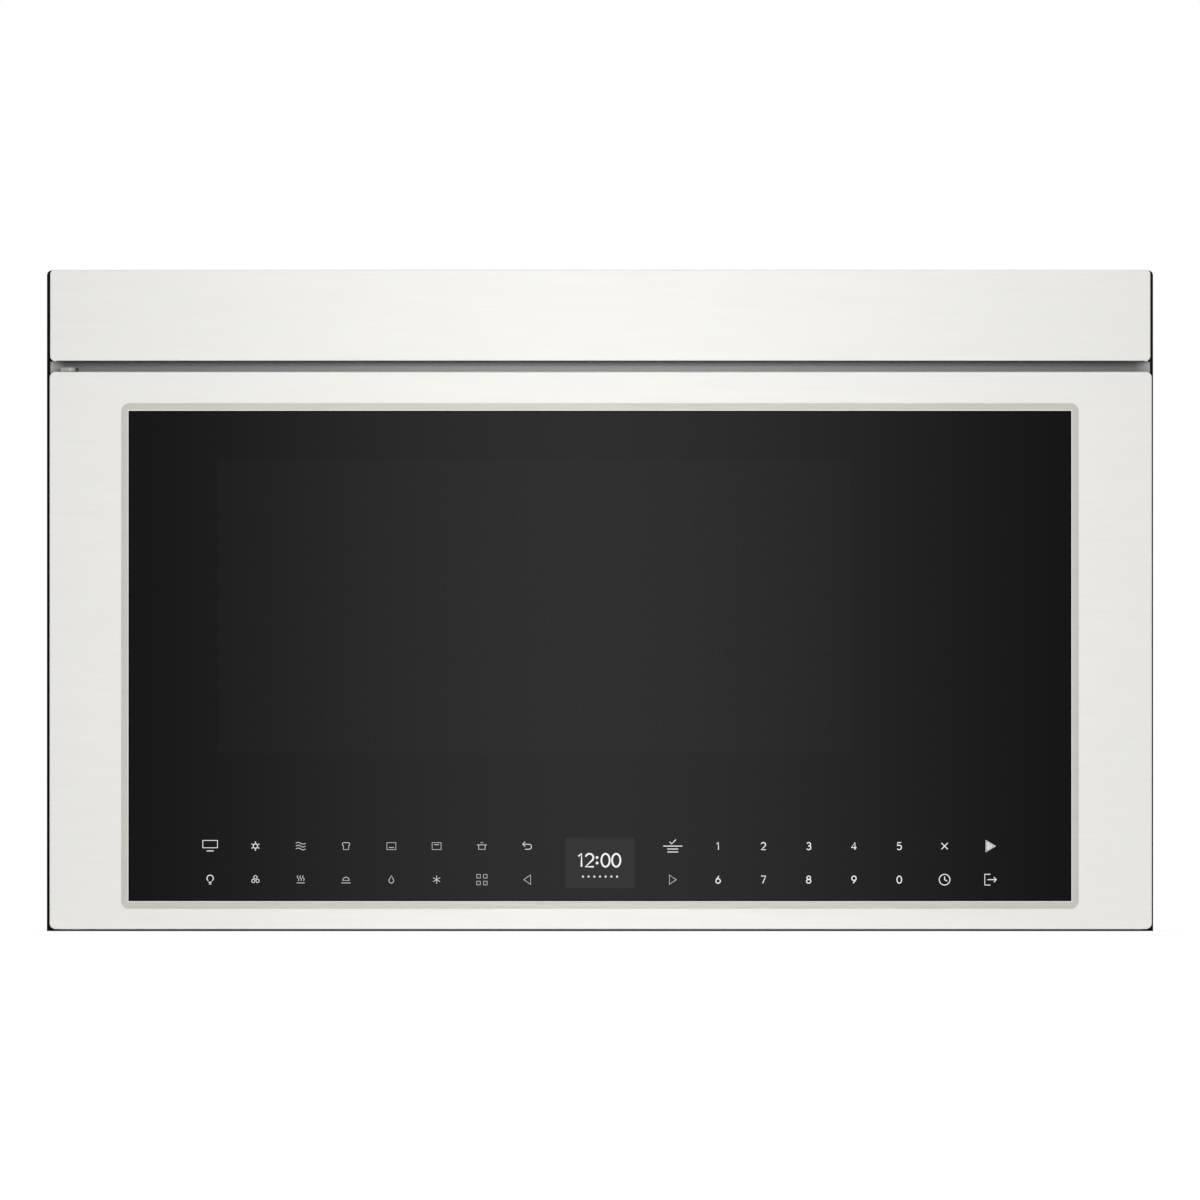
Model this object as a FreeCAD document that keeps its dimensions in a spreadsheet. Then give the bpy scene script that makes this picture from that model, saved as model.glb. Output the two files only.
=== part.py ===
"""Over the range microwave oven with a left-hinged glass door and touch controls.

Millimetres. +X to the right, +Y back to the wall, +Z up. The origin is the middle of the
bottom of the whole object's box, so the door faces -Y and the wall plate lies at +Y.
"""
import FreeCAD, Part
import math
import os
import re

import Sketcher

SIZES = {
    # Whole object: a thirty inch wide model.
    "case_width": 760.0,
    "case_height": 454.0,
    "case_depth": 486.0,
    # Sheets and general clearances.
    "case_wall": 0.8,
    "base_wall": 1.0,
    "frame_wall": 1.2,
    "wall_plate": 1.6,
    "case_bend": 3.5,
    "front_flange": 8.0,
    "base_rim": 15.0,
    "free_gap": 0.3,
    "fit_gap": 0.05,
    # Door leaf.
    "door_thick": 43.4,
    "door_gap": 1.0,
    "door_lift": 1.5,
    "door_inset_left": 2.75,
    "door_inset_right": 1.75,
    "door_corner": 4.0,
    "door_bend": 1.8,
    "skin_wall": 0.8,
    "skin_return": 34.0,
    # Glass and the bright frame round it.
    "trim_proud": 0.6,
    "trim_width": 5.0,
    "trim_lap": 2.0,
    "trim_corner": 4.8,
    "trim_from_left": 49.05,
    "trim_from_right": 50.15,
    "trim_from_top": 21.8,
    "trim_from_bottom": 14.1,
    "glass_thick": 3.2,
    "glass_sunk": 0.3,
    # Screened window behind the glass.
    "screen_wall": 0.5,
    "inner_pane": 1.0,
    "window_side": 13.6,
    "window_edge": 10.3,
    "pane_lap": 6.0,
    "choke_thick": 9.0,
    "choke_inset": 13.0,
    "mould_wall": 2.5,
    "glass_seat": 6.0,
    "hinge_block": 9.0,
    # Touch board and display in the lower band of the glass.
    "board_wall": 1.6,
    "touch_height": 44.0,
    "touch_margin": 14.0,
    "touch_rise": 6.0,
    "display_width": 47.6,
    "display_height": 35.0,
    "display_rise": 8.7,
    "display_depth": 6.0,
    # Top panel over the air gap; the door fills the height that is left.
    "panel_height": 62.4,
    "air_slot": 7.6,
    "panel_drop": 0.5,
    "panel_inset_left": 3.1,
    "panel_inset_right": 2.7,
    "panel_corner": 3.0,
    "panel_bend": 1.5,
    "panel_lip": 12.0,
    # Oven cavity, and the room that the case keeps clear of it.
    "cavity_wall": 1.0,
    "component_bay": 194.0,
    "cavity_headroom": 120.0,
    "back_bay": 119.4,
    "cavity_floor": 112.0,
    "side_duct": 104.0,
    "cavity_flange": 10.0,
    # Turntable.
    "tray_clearance": 7.5,
    "tray_wall": 4.5,
    "tray_rise": 16.0,
    "tray_flare": 20.5,
    "roller_radius": 7.0,
    "roller_width": 9.0,
    "roller_track": 95.0,
    "roller_pin": 2.0,
    "ring_width": 9.0,
    "ring_thick": 4.6,
    "coupler_radius": 13.0,
    "coupler_arm": 26.0,
    "coupler_width": 9.0,
    "coupler_height": 9.0,
    "drive_shaft": 3.4,
    "turn_motor_radius": 25.0,
    "turn_motor_height": 22.0,
    # Hinges, left edge of the door.
    "hinge_from_left": 13.3,
    "hinge_from_front": 11.4,
    "hinge_arm": 11.7,
    "hinge_thick": 2.7,
    "hinge_pin": 3.5,
    "pin_length": 12.0,
    "bush_wall": 2.0,
    "hinge_flange": 44.0,
    "flange_thick": 2.0,
    # Latch, right edge of the door.
    "hook_from_right": 47.0,
    "hook_thick": 5.0,
    "hook_height": 12.0,
    "hook_reach": 19.0,
    "hook_drop": 3.5,
    "hook_tip": 6.0,
    "hook_low": 150.0,
    "hook_from_top": 98.5,
    "latch_travel": 4.0,
    "latch_bar_depth": 12.0,
    "latch_end": 25.0,
    "latch_spring_length": 18.0,
    "slot_side": 1.8,
    "plunger_travel": 1.5,
    "plunger_radius": 2.0,
    "plunger_inside": 6.0,
    "switch_width": 10.0,
    "switch_depth": 24.0,
    "switch_height": 16.0,
    "release_radius": 3.0,
    "solenoid_height": 34.0,
    "solenoid_side": 20.0,
    "release_out": 10.0,
    "latch_board_wall": 3.0,
    "latch_board_width": 44.0,
    # Vent blower across the top.
    "blower_radius": 47.0,
    "blower_length": 300.0,
    "blower_wall": 1.2,
    "blower_back": 62.0,
    "mouth_rise": 6.0,
    "mouth_height": 44.0,
    "blower_drop": 19.0,
    "duct_length": 250.0,
    "wheel_radius": 41.0,
    "wheel_length": 82.0,
    "wheel_blades": 24,
    "blade_wall": 1.2,
    "blade_depth": 9.0,
    "vent_motor_radius": 36.0,
    "vent_motor_length": 84.0,
    "vent_shaft": 4.0,
    # Filters, lamps and grille.
    "filter_width": 230.0,
    "filter_depth": 170.0,
    "filter_thick": 9.0,
    "filter_lap": 6.0,
    "filter_apart": 76.0,
    "filter_back": 120.0,
    "charcoal_lap": 2.0,
    "charcoal_thick": 16.0,
    "grille_thick": 3.0,
    "grille_slats": 47,
    "grille_frame": 6.0,
    "slat_wall": 2.0,
    "lamp_apart": 420.0,
    "lamp_width": 64.0,
    "lamp_depth": 44.0,
    "lamp_height": 16.0,
    "lamp_from_front": 60.0,
    "lens_wall": 2.0,
    # Microwave generator in the right-hand compartment.
    "shelf_drop": 16.0,
    "shelf_under": 24.0,
    "shelf_wall": 1.0,
    "guide_width": 16.0,
    "guide_depth": 84.0,
    "guide_height": 110.0,
    "port_depth": 60.0,
    "port_height": 52.0,
    "magnetron_length": 74.0,
    "magnetron_width": 84.0,
    "magnetron_height": 62.0,
    "fin_count": 9,
    "fin_wall": 1.0,
    "anode_radius": 21.0,
    "transformer_width": 92.0,
    "transformer_depth": 104.0,
    "transformer_height": 76.0,
    "winding_wrap": 12.0,
    "capacitor_radius": 19.0,
    "capacitor_height": 82.0,
    "fan_side": 108.0,
    "fan_frame": 22.0,
    "fan_radius": 46.0,
    "fan_hub": 13.0,
    "fan_shaft": 3.0,
    "blade_pitch": 32.0,
    "fan_blades": 6,
    "fan_motor_side": 44.0,
    "fan_motor_depth": 26.0,
    "fan_from_back": 56.0,
    # Convection fan and heaters.
    "pocket_margin": 19.0,
    "convection_pocket": 34.0,
    "wheel_inset": 14.0,
    "convection_blades": 12,
    "cover_wall": 0.8,
    "cover_lap": 12.0,
    "cover_hole": 2.6,
    "cover_pitch": 14.0,
    "convection_depth": 18.0,
    "heater_radius": 3.2,
    "heater_inset": 12.0,
    "broil_drop": 11.0,
    "broil_pitch": 58.0,
    "broil_front": 40.0,
    "convection_motor_radius": 30.0,
    "convection_motor_depth": 36.0,
    # Boards, lamp, wall fixings and screws.
    "power_board_depth": 150.0,
    "power_board_height": 120.0,
    "standoff": 8.0,
    "relay_side": 22.0,
    "cavity_lamp_radius": 11.0,
    "cavity_lamp_length": 30.0,
    "cavity_lamp_front": 70.0,
    "cavity_lamp_drop": 40.0,
    "bushing_radius": 12.0,
    "bushing_flange": 3.0,
    "bushing_from_right": 52.0,
    "bushing_from_back": 60.0,
    "lag_spacing": 406.4,
    "lag_hole": 4.0,
    "lag_top": 60.0,
    "lag_low": 250.0,
    "plate_slot": 55.0,
    "plate_slot_pitch": 50.0,
    "plate_slot_rows": 5,
    "cabinet_spacing": 558.8,
    "cabinet_hole": 3.3,
    "cabinet_from_front": 60.0,
    "screw_radius": 1.9,
    "screw_head": 3.8,
    "head_height": 2.2,
    "screw_length": 9.0,
    "screw_offset": 14.0,
}

doc = FreeCAD.newDocument("range_microwave")
sheet = doc.addObject("Spreadsheet::Sheet", "sizes")
for row, (alias, number) in enumerate(SIZES.items(), start=1):
    sheet.set(f"A{row}", alias)
    sheet.set(f"B{row}", str(number))
    sheet.setAlias(f"B{row}", alias)
doc.recompute()

SUB_PARTS = []
TURNS = {
    "X": FreeCAD.Rotation(FreeCAD.Vector(0, 1, 0), 90),
    "Y": FreeCAD.Rotation(FreeCAD.Vector(1, 0, 0), -90),
    "Z": FreeCAD.Rotation(),
}


def bind(text):
    """Point every size named in an expression at its cell of the sheet."""
    return re.sub(r"[a-z_]+", lambda word: f"sizes.{word[0]}" if word[0] in SIZES else word[0], text)


def measure(text):
    """The number that an expression of sizes comes to."""
    return float(sheet.evalExpression(bind(text)))


def place(solid, x, y, z):
    """Tie a solid's base point to three expressions."""
    for axis, text in zip("xyz", (x, y, z)):
        solid.setExpression(f"Placement.Base.{axis}", bind(text))


def block(x, y, z, name="block"):
    """A rectangular solid between a low and a high limit on each axis."""
    solid = doc.addObject("Part::Box", name)
    for side, (low, high) in zip(("Length", "Width", "Height"), (x, y, z)):
        solid.setExpression(side, bind(f"({high}) - ({low})"))
    place(solid, x[0], y[0], z[0])
    return solid


def rod(axis, span, centre, radius, name="rod"):
    """A round solid along an axis, between two limits, centred on the two other axes."""
    solid = doc.addObject("Part::Cylinder", name)
    solid.setExpression("Radius", bind(radius))
    solid.setExpression("Height", bind(f"({span[1]}) - ({span[0]})"))
    solid.Placement.Rotation = TURNS[axis]
    base = list(centre)
    base.insert("XYZ".index(axis), span[0])
    place(solid, *base)
    return solid


def fuse(*solids, name="joined"):
    """Several solids joined into one."""
    joined = doc.addObject("Part::MultiFuse", name)
    joined.Shapes = list(solids)
    joined.Refine = True
    return joined


def cut(base, *tools, name="holed"):
    """A solid with every tool taken out of it."""
    holed = doc.addObject("Part::Cut", name)
    holed.Base = base
    holed.Tool = tools[0] if len(tools) == 1 else fuse(*tools, name="openings")
    holed.Refine = True
    return holed


def group(*solids, name="group"):
    """Separate solids kept together as one node."""
    together = doc.addObject("Part::Compound", name)
    together.Links = list(solids)
    return together


def tube(axis, span, centre, radius, bore, name="tube"):
    """A round solid with a through bore."""
    past = (f"({span[0]}) - 1", f"({span[1]}) + 1")
    return cut(rod(axis, span, centre, radius), rod(axis, past, centre, bore), name=name)


def sub_part(label, solid):
    """Name a finished piece; the name is its file's name too."""
    solid.Label = label
    SUB_PARTS.append(solid)
    return solid


def inside(limits, by):
    """Low and high limits drawn in at both ends."""
    return (f"({limits[0]}) + ({by})", f"({limits[1]}) - ({by})")


def common(*solids, name="shared"):
    """What several solids have in common."""
    shared = doc.addObject("Part::MultiCommon", name)
    shared.Shapes = list(solids)
    return shared


def around(centre, half):
    """Low and high limits at an equal reach on each side of a middle."""
    return (f"({centre}) - ({half})", f"({centre}) + ({half})")


class Piece:
    """A body built from sketches on its own origin planes."""

    def __init__(self, label):
        self.body = doc.addObject("PartDesign::Body", label)
        self.label = label
        self.facing = {}

    def sketch(self, role, level, centre=("0", "0")):
        """A new sketch on XY, XZ or YZ, at a level along the axis across it, with its own centre."""
        profile = self.body.newObject("Sketcher::SketchObject", "profile")
        plane = [item for item in self.body.Origin.OriginFeatures if item.Role == f"{role}_Plane"][0]
        profile.AttachmentSupport = [(plane, "")]
        profile.MapMode = "FlatFace"
        self.facing[profile.Name] = -1 if role == "XZ" else 1
        for axis, text in zip("xy", centre):
            profile.setExpression(f"AttachmentOffset.Base.{axis}", bind(text))
        profile.setExpression("AttachmentOffset.Base.z", bind(f"{self.facing[profile.Name]} * ({level})"))
        return profile

    def rectangle(self, profile, across, up):
        """A rectangle between limits, each tied to the sheet."""
        left, right = (measure(text) for text in across)
        low, high = (measure(text) for text in up)
        corners = [(left, low), (right, low), (right, high), (left, high)]
        first = profile.GeometryCount
        for start, end in zip(corners, corners[1:] + corners[:1]):
            ends = [FreeCAD.Vector(*point, 0) for point in (start, end)]
            profile.addGeometry(Part.LineSegment(*ends), False)
        for side in range(4):
            following = first + (side + 1) % 4
            profile.addConstraint(Sketcher.Constraint("Coincident", first + side, 2, following, 1))
            kind = "Horizontal" if side % 2 == 0 else "Vertical"
            profile.addConstraint(Sketcher.Constraint(kind, first + side))
        self.tie(profile, "DistanceX", (-1, 1, first, 1), left, across[0])
        self.tie(profile, "DistanceY", (-1, 1, first, 1), low, up[0])
        self.tie(profile, "DistanceX", (first, 1, first, 2), right - left, f"({across[1]}) - ({across[0]})")
        self.tie(profile, "DistanceY", (first + 1, 1, first + 1, 2), high - low, f"({up[1]}) - ({up[0]})")

    def circle(self, profile, across, up, radius):
        """A circle whose centre and radius are tied to the sheet."""
        centre = FreeCAD.Vector(measure(across), measure(up), 0)
        index = profile.addGeometry(Part.Circle(centre, FreeCAD.Vector(0, 0, 1), measure(radius)), False)
        self.tie(profile, "DistanceX", (-1, 1, index, 3), centre.x, across)
        self.tie(profile, "DistanceY", (-1, 1, index, 3), centre.y, up)
        self.tie(profile, "Radius", (index,), measure(radius), radius)

    def outline(self, profile, points):
        """A closed run of straight lines through points tied to the sheet."""
        spots = [FreeCAD.Vector(measure(across), measure(up), 0) for across, up in points]
        first = profile.GeometryCount
        for start, end in zip(spots, spots[1:] + spots[:1]):
            profile.addGeometry(Part.LineSegment(start, end), False)
        for side, (across, up) in enumerate(points):
            following = first + (side + 1) % len(points)
            profile.addConstraint(Sketcher.Constraint("Coincident", first + side, 2, following, 1))
            self.tie(profile, "DistanceX", (-1, 1, first + side, 1), spots[side].x, across)
            self.tie(profile, "DistanceY", (-1, 1, first + side, 1), spots[side].y, up)

    def tie(self, profile, kind, ends, number, text):
        """One distance or radius of a sketch, bound to an expression."""
        index = profile.addConstraint(Sketcher.Constraint(kind, *ends, number))
        profile.setExpression(f"Constraints[{index}]", bind(text))

    def pad(self, profile, length):
        """Material added from a sketch, towards the higher numbers of its axis."""
        feature = self.body.newObject("PartDesign::Pad", "pad")
        feature.Profile = profile
        feature.setExpression("Length", bind(length))
        feature.Reversed = self.facing[profile.Name] < 0
        doc.recompute()
        return feature

    def pocket(self, profile, length):
        """Material taken out from a sketch, in the same direction as a pad adds it."""
        feature = self.body.newObject("PartDesign::Pocket", "pocket")
        feature.Profile = profile
        feature.setExpression("Length", bind(length))
        before = self.body.Shape.Volume
        feature.Reversed = self.facing[profile.Name] > 0
        doc.recompute()
        if not self.body.Shape.Volume < before - 1e-6:
            raise RuntimeError(f"{self.label}: a pocket cuts nothing")
        return feature

    def revolve(self, profile, axis):
        """Material turned once round an axis of the sketch."""
        feature = self.body.newObject("PartDesign::Revolution", "revolution")
        feature.Profile = profile
        feature.ReferenceAxis = (profile, [axis])
        feature.Angle = 360
        doc.recompute()
        return feature

    def round(self, radius, chosen):
        """A fillet on the edges of the last feature that a test picks."""
        base = self.body.Tip
        edges = [f"Edge{number}" for number, edge in enumerate(base.Shape.Edges, start=1) if chosen(edge)]
        feature = self.body.newObject("PartDesign::Fillet", "fillet")
        feature.Base = (base, edges)
        feature.setExpression("Radius", bind(radius))
        doc.recompute()
        return feature

    def repeat_round(self, feature, profile, count):
        """Copies of a feature spread evenly round the sketch's normal."""
        pattern = self.body.newObject("PartDesign::PolarPattern", "pattern")
        pattern.Originals = [feature]
        pattern.Axis = (profile, ["N_Axis"])
        pattern.Angle = 360
        pattern.Occurrences = int(measure(count))
        pattern.setExpression("Occurrences", bind(count))
        self.body.Tip = pattern
        doc.recompute()
        return pattern

    def done(self):
        """Register the body as a finished sub-part."""
        return sub_part(self.label, self.body)


def runs_along(edge, axis):
    """Whether a straight edge lies along an axis."""
    if edge.Curve.TypeId != "Part::GeomLine":
        return False
    return abs(abs(edge.tangentAt(edge.FirstParameter).dot(axis)) - 1) < 1e-6


X_AXIS = FreeCAD.Vector(1, 0, 0)
Y_AXIS = FreeCAD.Vector(0, 1, 0)
Z_AXIS = FreeCAD.Vector(0, 0, 1)


def lies_at(edge, axis, number):
    """Whether all of an edge lies on one plane across an axis."""
    box = edge.BoundBox
    low, high = (box.YMin, box.YMax) if axis == "Y" else (box.ZMin, box.ZMax)
    return abs(low - number) < 1e-4 and abs(high - number) < 1e-4


# Limits of the whole object, and planes across its depth from the door to the wall.
LEFT = "(-case_width/2)"
RIGHT = "(case_width/2)"
FRONT = "(-case_depth/2)"
WALL = "(case_depth/2)"
SKIN_FRONT = f"({FRONT} + trim_proud)"
DOOR_BACK = f"({SKIN_FRONT} + door_thick)"
FACE = f"({DOOR_BACK} + door_gap)"
FRAME_FRONT = f"({FACE} + case_wall)"
FRAME_BACK = f"({FRAME_FRONT} + frame_wall)"
CASE_BACK = f"({WALL} - wall_plate)"
PLATE_FRONT = f"({CASE_BACK} - case_wall)"
ROOF = "(case_height - case_wall)"

# Door, glass, top panel and the slot between them.
DOOR_X = (f"({LEFT} + door_inset_left)", f"({RIGHT} - door_inset_right)")
PANEL_Z = ("(case_height - panel_drop - panel_height)", "(case_height - panel_drop)")
DOOR_Z = ("door_lift", f"({PANEL_Z[0]} - air_slot)")
TRIM_X = (f"({DOOR_X[0]} + trim_from_left)", f"({DOOR_X[1]} - trim_from_right)")
TRIM_Z = (f"({DOOR_Z[0]} + trim_from_bottom)", f"({DOOR_Z[1]} - trim_from_top)")
GLASS_X = inside(TRIM_X, "trim_width")
GLASS_Z = inside(TRIM_Z, "trim_width")
PANEL_X = (f"({LEFT} + panel_inset_left)", f"({RIGHT} - panel_inset_right)")
SHELL_X = inside((LEFT, RIGHT), "case_wall")
SHELL_Z = ("base_wall", ROOF)

# Inside of the cavity, and the turntable's axis in the middle of its floor.
CAVITY_X = (f"({LEFT} + side_duct)", f"({RIGHT} - component_bay)")
CAVITY_BACK = f"({CASE_BACK} - back_bay)"
CAVITY_Z = ("cavity_floor", "(case_height - cavity_headroom)")
TURN_X = f"(({CAVITY_X[0]} + {CAVITY_X[1]})/2)"
TURN_Y = f"(({FACE} + {CAVITY_BACK})/2)"
OVEN_MIDDLE = f"(({CAVITY_Z[0]} + {CAVITY_Z[1]})/2)"

# Air mouth above the door, and the vent blower's axis behind it.
MOUTH_X = around("0", "duct_length/2")
MOUTH_Z = (f"({PANEL_Z[0]} + mouth_rise)", f"({PANEL_Z[0]} + mouth_rise + mouth_height)")
BLOWER_Y = f"({CASE_BACK} - blower_back)"
BLOWER_Z = f"({MOUTH_Z[0]} + mouth_height/2 - blower_drop)"

# Door's swing axis and the latch at the other edge.
HINGE = (f"({DOOR_X[0]} + hinge_from_left)", f"({SKIN_FRONT} + hinge_from_front)")
HOOK_X = around(f"{DOOR_X[1]} - hook_from_right", "hook_thick/2")
HOOK_BACK = f"({FACE} + hook_reach)"
UPPER_HOOK = f"({DOOR_Z[1]} - hook_from_top)"


def hook_bottoms():
    """Rest heights of the underside of the lower and the upper hook."""
    return ("hook_low", UPPER_HOOK)


def pan(label, x, z, front, back, corner, bend):
    """A folded sheet pan that is open at the back, with rounded corners and front edges."""
    piece = Piece(label)
    face = piece.sketch("XZ", front)
    piece.rectangle(face, x, z)
    piece.pad(face, f"({back}) - ({front})")
    hollow = piece.sketch("XZ", f"({front}) + skin_wall")
    piece.rectangle(hollow, inside(x, "skin_wall"), inside(z, "skin_wall"))
    piece.pocket(hollow, f"({back}) - ({front})")
    left, right = (measure(limit) for limit in x)
    tolerance = 1e-3

    def upright(edge, offset):
        """Whether an edge along the depth stands at a reach from the pan's sides."""
        along = edge.BoundBox.XMin
        return runs_along(edge, Y_AXIS) and (
            abs(along - left - offset) < tolerance or abs(right - offset - along) < tolerance
        )

    piece.round(f"({corner}) - skin_wall", lambda edge: upright(edge, measure("skin_wall")))
    piece.round(corner, lambda edge: upright(edge, 0.0))
    piece.round(bend, lambda edge: lies_at(edge, "Y", measure(front)))
    return piece


def corner_plate(label, y, z):
    """A plate across the case with its two top corners rounded to fit the case's bends."""
    piece = Piece(label)
    face = piece.sketch("XZ", y[0])
    piece.rectangle(face, SHELL_X, z)
    piece.pad(face, f"({y[1]}) - ({y[0]})")
    top = measure(z[1])
    piece.round("case_bend - case_wall", lambda edge: runs_along(edge, Y_AXIS) and lies_at(edge, "Z", top))
    return piece


def make_outer_case():
    """Sides and roof in one bent sheet with a narrow flange round its front."""
    piece = Piece("outer_case")
    face = piece.sketch("XZ", FACE)
    piece.rectangle(face, (LEFT, RIGHT), ("base_wall", "case_height"))
    piece.pad(face, f"{CASE_BACK} - {FACE}")
    hollow = piece.sketch("XZ", FRAME_FRONT)
    piece.rectangle(hollow, SHELL_X, ("0", ROOF))
    piece.pocket(hollow, f"{CASE_BACK} - {FACE}")
    roof = measure("case_height") - 2 * measure("case_wall")
    side = measure(SHELL_X[1])

    def bend(edge, outer):
        """Whether an edge is one of the roof's outer or inner bends."""
        is_outer = abs(edge.BoundBox.XMax) > side + 1e-3
        return runs_along(edge, Y_AXIS) and edge.BoundBox.ZMin > roof and is_outer == outer

    piece.round("case_bend - case_wall", lambda edge: bend(edge, False))
    piece.round("case_bend", lambda edge: bend(edge, True))
    mouth = piece.sketch("XZ", f"{FACE} - case_wall")
    piece.rectangle(mouth, inside((LEFT, RIGHT), "front_flange"), ("0", "case_height - front_flange"))
    piece.pocket(mouth, "case_wall * 3")
    holes = piece.sketch("XY", f"{ROOF} - case_wall")
    for side_of in ("-", ""):
        piece.circle(holes, f"{side_of}cabinet_spacing/2", f"{FACE} + cabinet_from_front", "cabinet_hole")
    piece.circle(holes, *BUSHING, "bushing_radius + fit_gap")
    piece.pocket(holes, "case_wall * 3")
    return piece.done()


BUSHING = (f"({RIGHT} - bushing_from_right)", f"({CASE_BACK} - bushing_from_back)")


def filter_spots():
    """Limits across the width of the left and the right grease filter."""
    near = "filter_apart/2"
    far = "(filter_apart/2 + filter_width)"
    return ((f"-{far}", f"-{near}"), (near, far))


FILTER_Y = (f"({CASE_BACK} - filter_back - filter_depth)", f"({CASE_BACK} - filter_back)")
LAMP_Y = around(f"{FRAME_BACK} + lamp_from_front", "lamp_depth/2")


def lamp_spots():
    """Limits across the width of the two cooktop lamps."""
    return (around("-lamp_apart/2", "lamp_width/2"), around("lamp_apart/2", "lamp_width/2"))


def make_base_plate():
    """Bottom plate with an upturned rim and openings for the filters and lamps."""
    plate = block((LEFT, RIGHT), (FACE, CASE_BACK), ("0", "base_wall"), "bottom_sheet")
    rim_y = (FRAME_BACK, PLATE_FRONT)
    outside = block(SHELL_X, rim_y, ("0", "base_rim"), "rim_outside")
    hollow_y = (f"{FRAME_BACK} - 1", f"{PLATE_FRONT} - base_wall")
    hollow = block(inside(SHELL_X, "base_wall"), hollow_y, ("base_wall", "base_rim + 1"), "rim_hollow")
    rim = cut(outside, hollow, name="rim")
    below = ("-1", "base_wall + 1")
    openings = [block(inside(x, "filter_lap"), inside(FILTER_Y, "filter_lap"), below) for x in filter_spots()]
    openings += [block(inside(x, "lens_wall"), inside(LAMP_Y, "lens_wall"), below) for x in lamp_spots()]
    return sub_part("base_plate", cut(fuse(plate, rim, name="pressed_base"), *openings, name="base"))


def make_back_plate():
    """Flat rear sheet with holes in line with the wall plate's hooks."""
    piece = corner_plate("back_plate", (PLATE_FRONT, CASE_BACK), SHELL_Z)
    vents = piece.sketch("XZ", f"{PLATE_FRONT} - case_wall")
    for row in range(4):
        low = f"{BLOWER_Z} - blower_radius/2 + {row} * blower_radius/4"
        for sign in ("-", ""):
            middle = f"({sign}blower_length/2 {'-' if sign else '+'} lag_hole * 10)"
            piece.rectangle(vents, around(middle, "lag_hole * 5"), around(low, "lag_hole/2"))
    piece.pocket(vents, "case_wall * 3")
    return piece.done()


def slot_z(bottom):
    """Height limits of a slot that a hook enters and is lifted in."""
    return (f"{bottom} - hook_drop - 2*free_gap", f"{bottom} + hook_height + latch_travel + 2*free_gap")


HOOK_SLOT_X = inside(HOOK_X, "-slot_side")
ARM_X = around(HINGE[0], "hinge_arm/2")
TOP_ARM_Z = (f"({DOOR_Z[1]} + free_gap)", f"({DOOR_Z[1]} + free_gap + hinge_thick)")
LOW_ARM_Z = (f"({DOOR_Z[0]})", f"({DOOR_Z[0]} + hinge_thick)")


def screw_spots():
    """Places on the face plate, behind the top panel, of the hinge's and the duct's screws."""
    height = f"({TOP_ARM_Z[1]} + screw_offset)"
    return [(HINGE[0], height)] + [(f"{sign}(duct_length/2 + screw_offset)", height) for sign in ("-", "")]


def make_front_frame():
    """Steel face plate with the cavity's mouth, air mouth, hinge slots and latch slots."""
    piece = corner_plate("front_frame", (FRAME_FRONT, FRAME_BACK), SHELL_Z)
    holes = piece.sketch("XZ", f"{FRAME_FRONT} - frame_wall")
    piece.rectangle(holes, CAVITY_X, CAVITY_Z)
    piece.rectangle(holes, MOUTH_X, MOUTH_Z)
    for bottom in hook_bottoms():
        piece.rectangle(holes, HOOK_SLOT_X, slot_z(bottom))
    for arm in (TOP_ARM_Z, LOW_ARM_Z):
        piece.rectangle(holes, ARM_X, arm)
    for spot in screw_spots():
        piece.circle(holes, *spot, "screw_radius")
    piece.pocket(holes, "frame_wall * 3")
    return piece.done()


def make_wall_mounting_plate():
    """Plate screwed to the wall, with lag holes and rows of slots for other stud places."""
    piece = Piece("wall_mounting_plate")
    face = piece.sketch("XZ", CASE_BACK)
    piece.rectangle(face, inside((LEFT, RIGHT), "front_flange"), ("base_rim", "case_height - base_rim"))
    piece.pad(face, "wall_plate")
    holes = piece.sketch("XZ", f"{CASE_BACK} - wall_plate")
    for height in LAG_HEIGHTS:
        for sign in ("-", ""):
            piece.circle(holes, f"{sign}lag_spacing/2", height, "lag_hole")
    for row in range(int(measure("plate_slot_rows"))):
        height = f"({LAG_HEIGHTS[1]} + {row} * plate_slot_pitch - plate_slot_pitch/2)"
        for column in (-1, 0, 1):
            across = around(f"{column} * plate_slot_pitch * 2", "plate_slot/2")
            piece.rectangle(holes, across, around(height, "lag_hole"))
    piece.pocket(holes, "wall_plate * 3")
    return piece.done()


LAG_HEIGHTS = ("(case_height - lag_top)", "(case_height - lag_low)")


def make_top_panel():
    """Folded front panel above the air slot, with a short lip along its lower edge."""
    piece = pan("top_panel", PANEL_X, PANEL_Z, SKIN_FRONT, FACE, "panel_corner", "panel_bend")
    opening = piece.sketch("XY", f"{PANEL_Z[0]} - skin_wall")
    piece.rectangle(opening, GRILLE_X, (GRILLE_Y[0], f"{FACE} + skin_wall"))
    piece.pocket(opening, "skin_wall * 2.5")
    return piece.done()


GRILLE_X = inside(PANEL_X, "panel_corner + skin_wall")
GRILLE_Y = (f"({SKIN_FRONT} + panel_lip)", FACE)


def make_vent_grille():
    """Outlet grille over the air slot, with slats along the depth."""
    z = (PANEL_Z[0], f"{PANEL_Z[0]} + grille_thick")
    plate = block(GRILLE_X, GRILLE_Y, z, "grille_plate")
    count = int(measure("grille_slats"))
    pitch = f"(({GRILLE_X[1]} - ({GRILLE_X[0]}) - 2*grille_frame + slat_wall) / grille_slats)"
    start = f"({GRILLE_X[0]} + grille_frame)"
    slots = []
    for number in range(count):
        low = f"{start} + {number} * {pitch}"
        x = (low, f"{low} + {pitch} - slat_wall")
        slots.append(block(x, inside(GRILLE_Y, "grille_frame"), inside(z, "-1"), "slot"))
    return sub_part("vent_grille", cut(plate, *slots, name="grille"))


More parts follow.
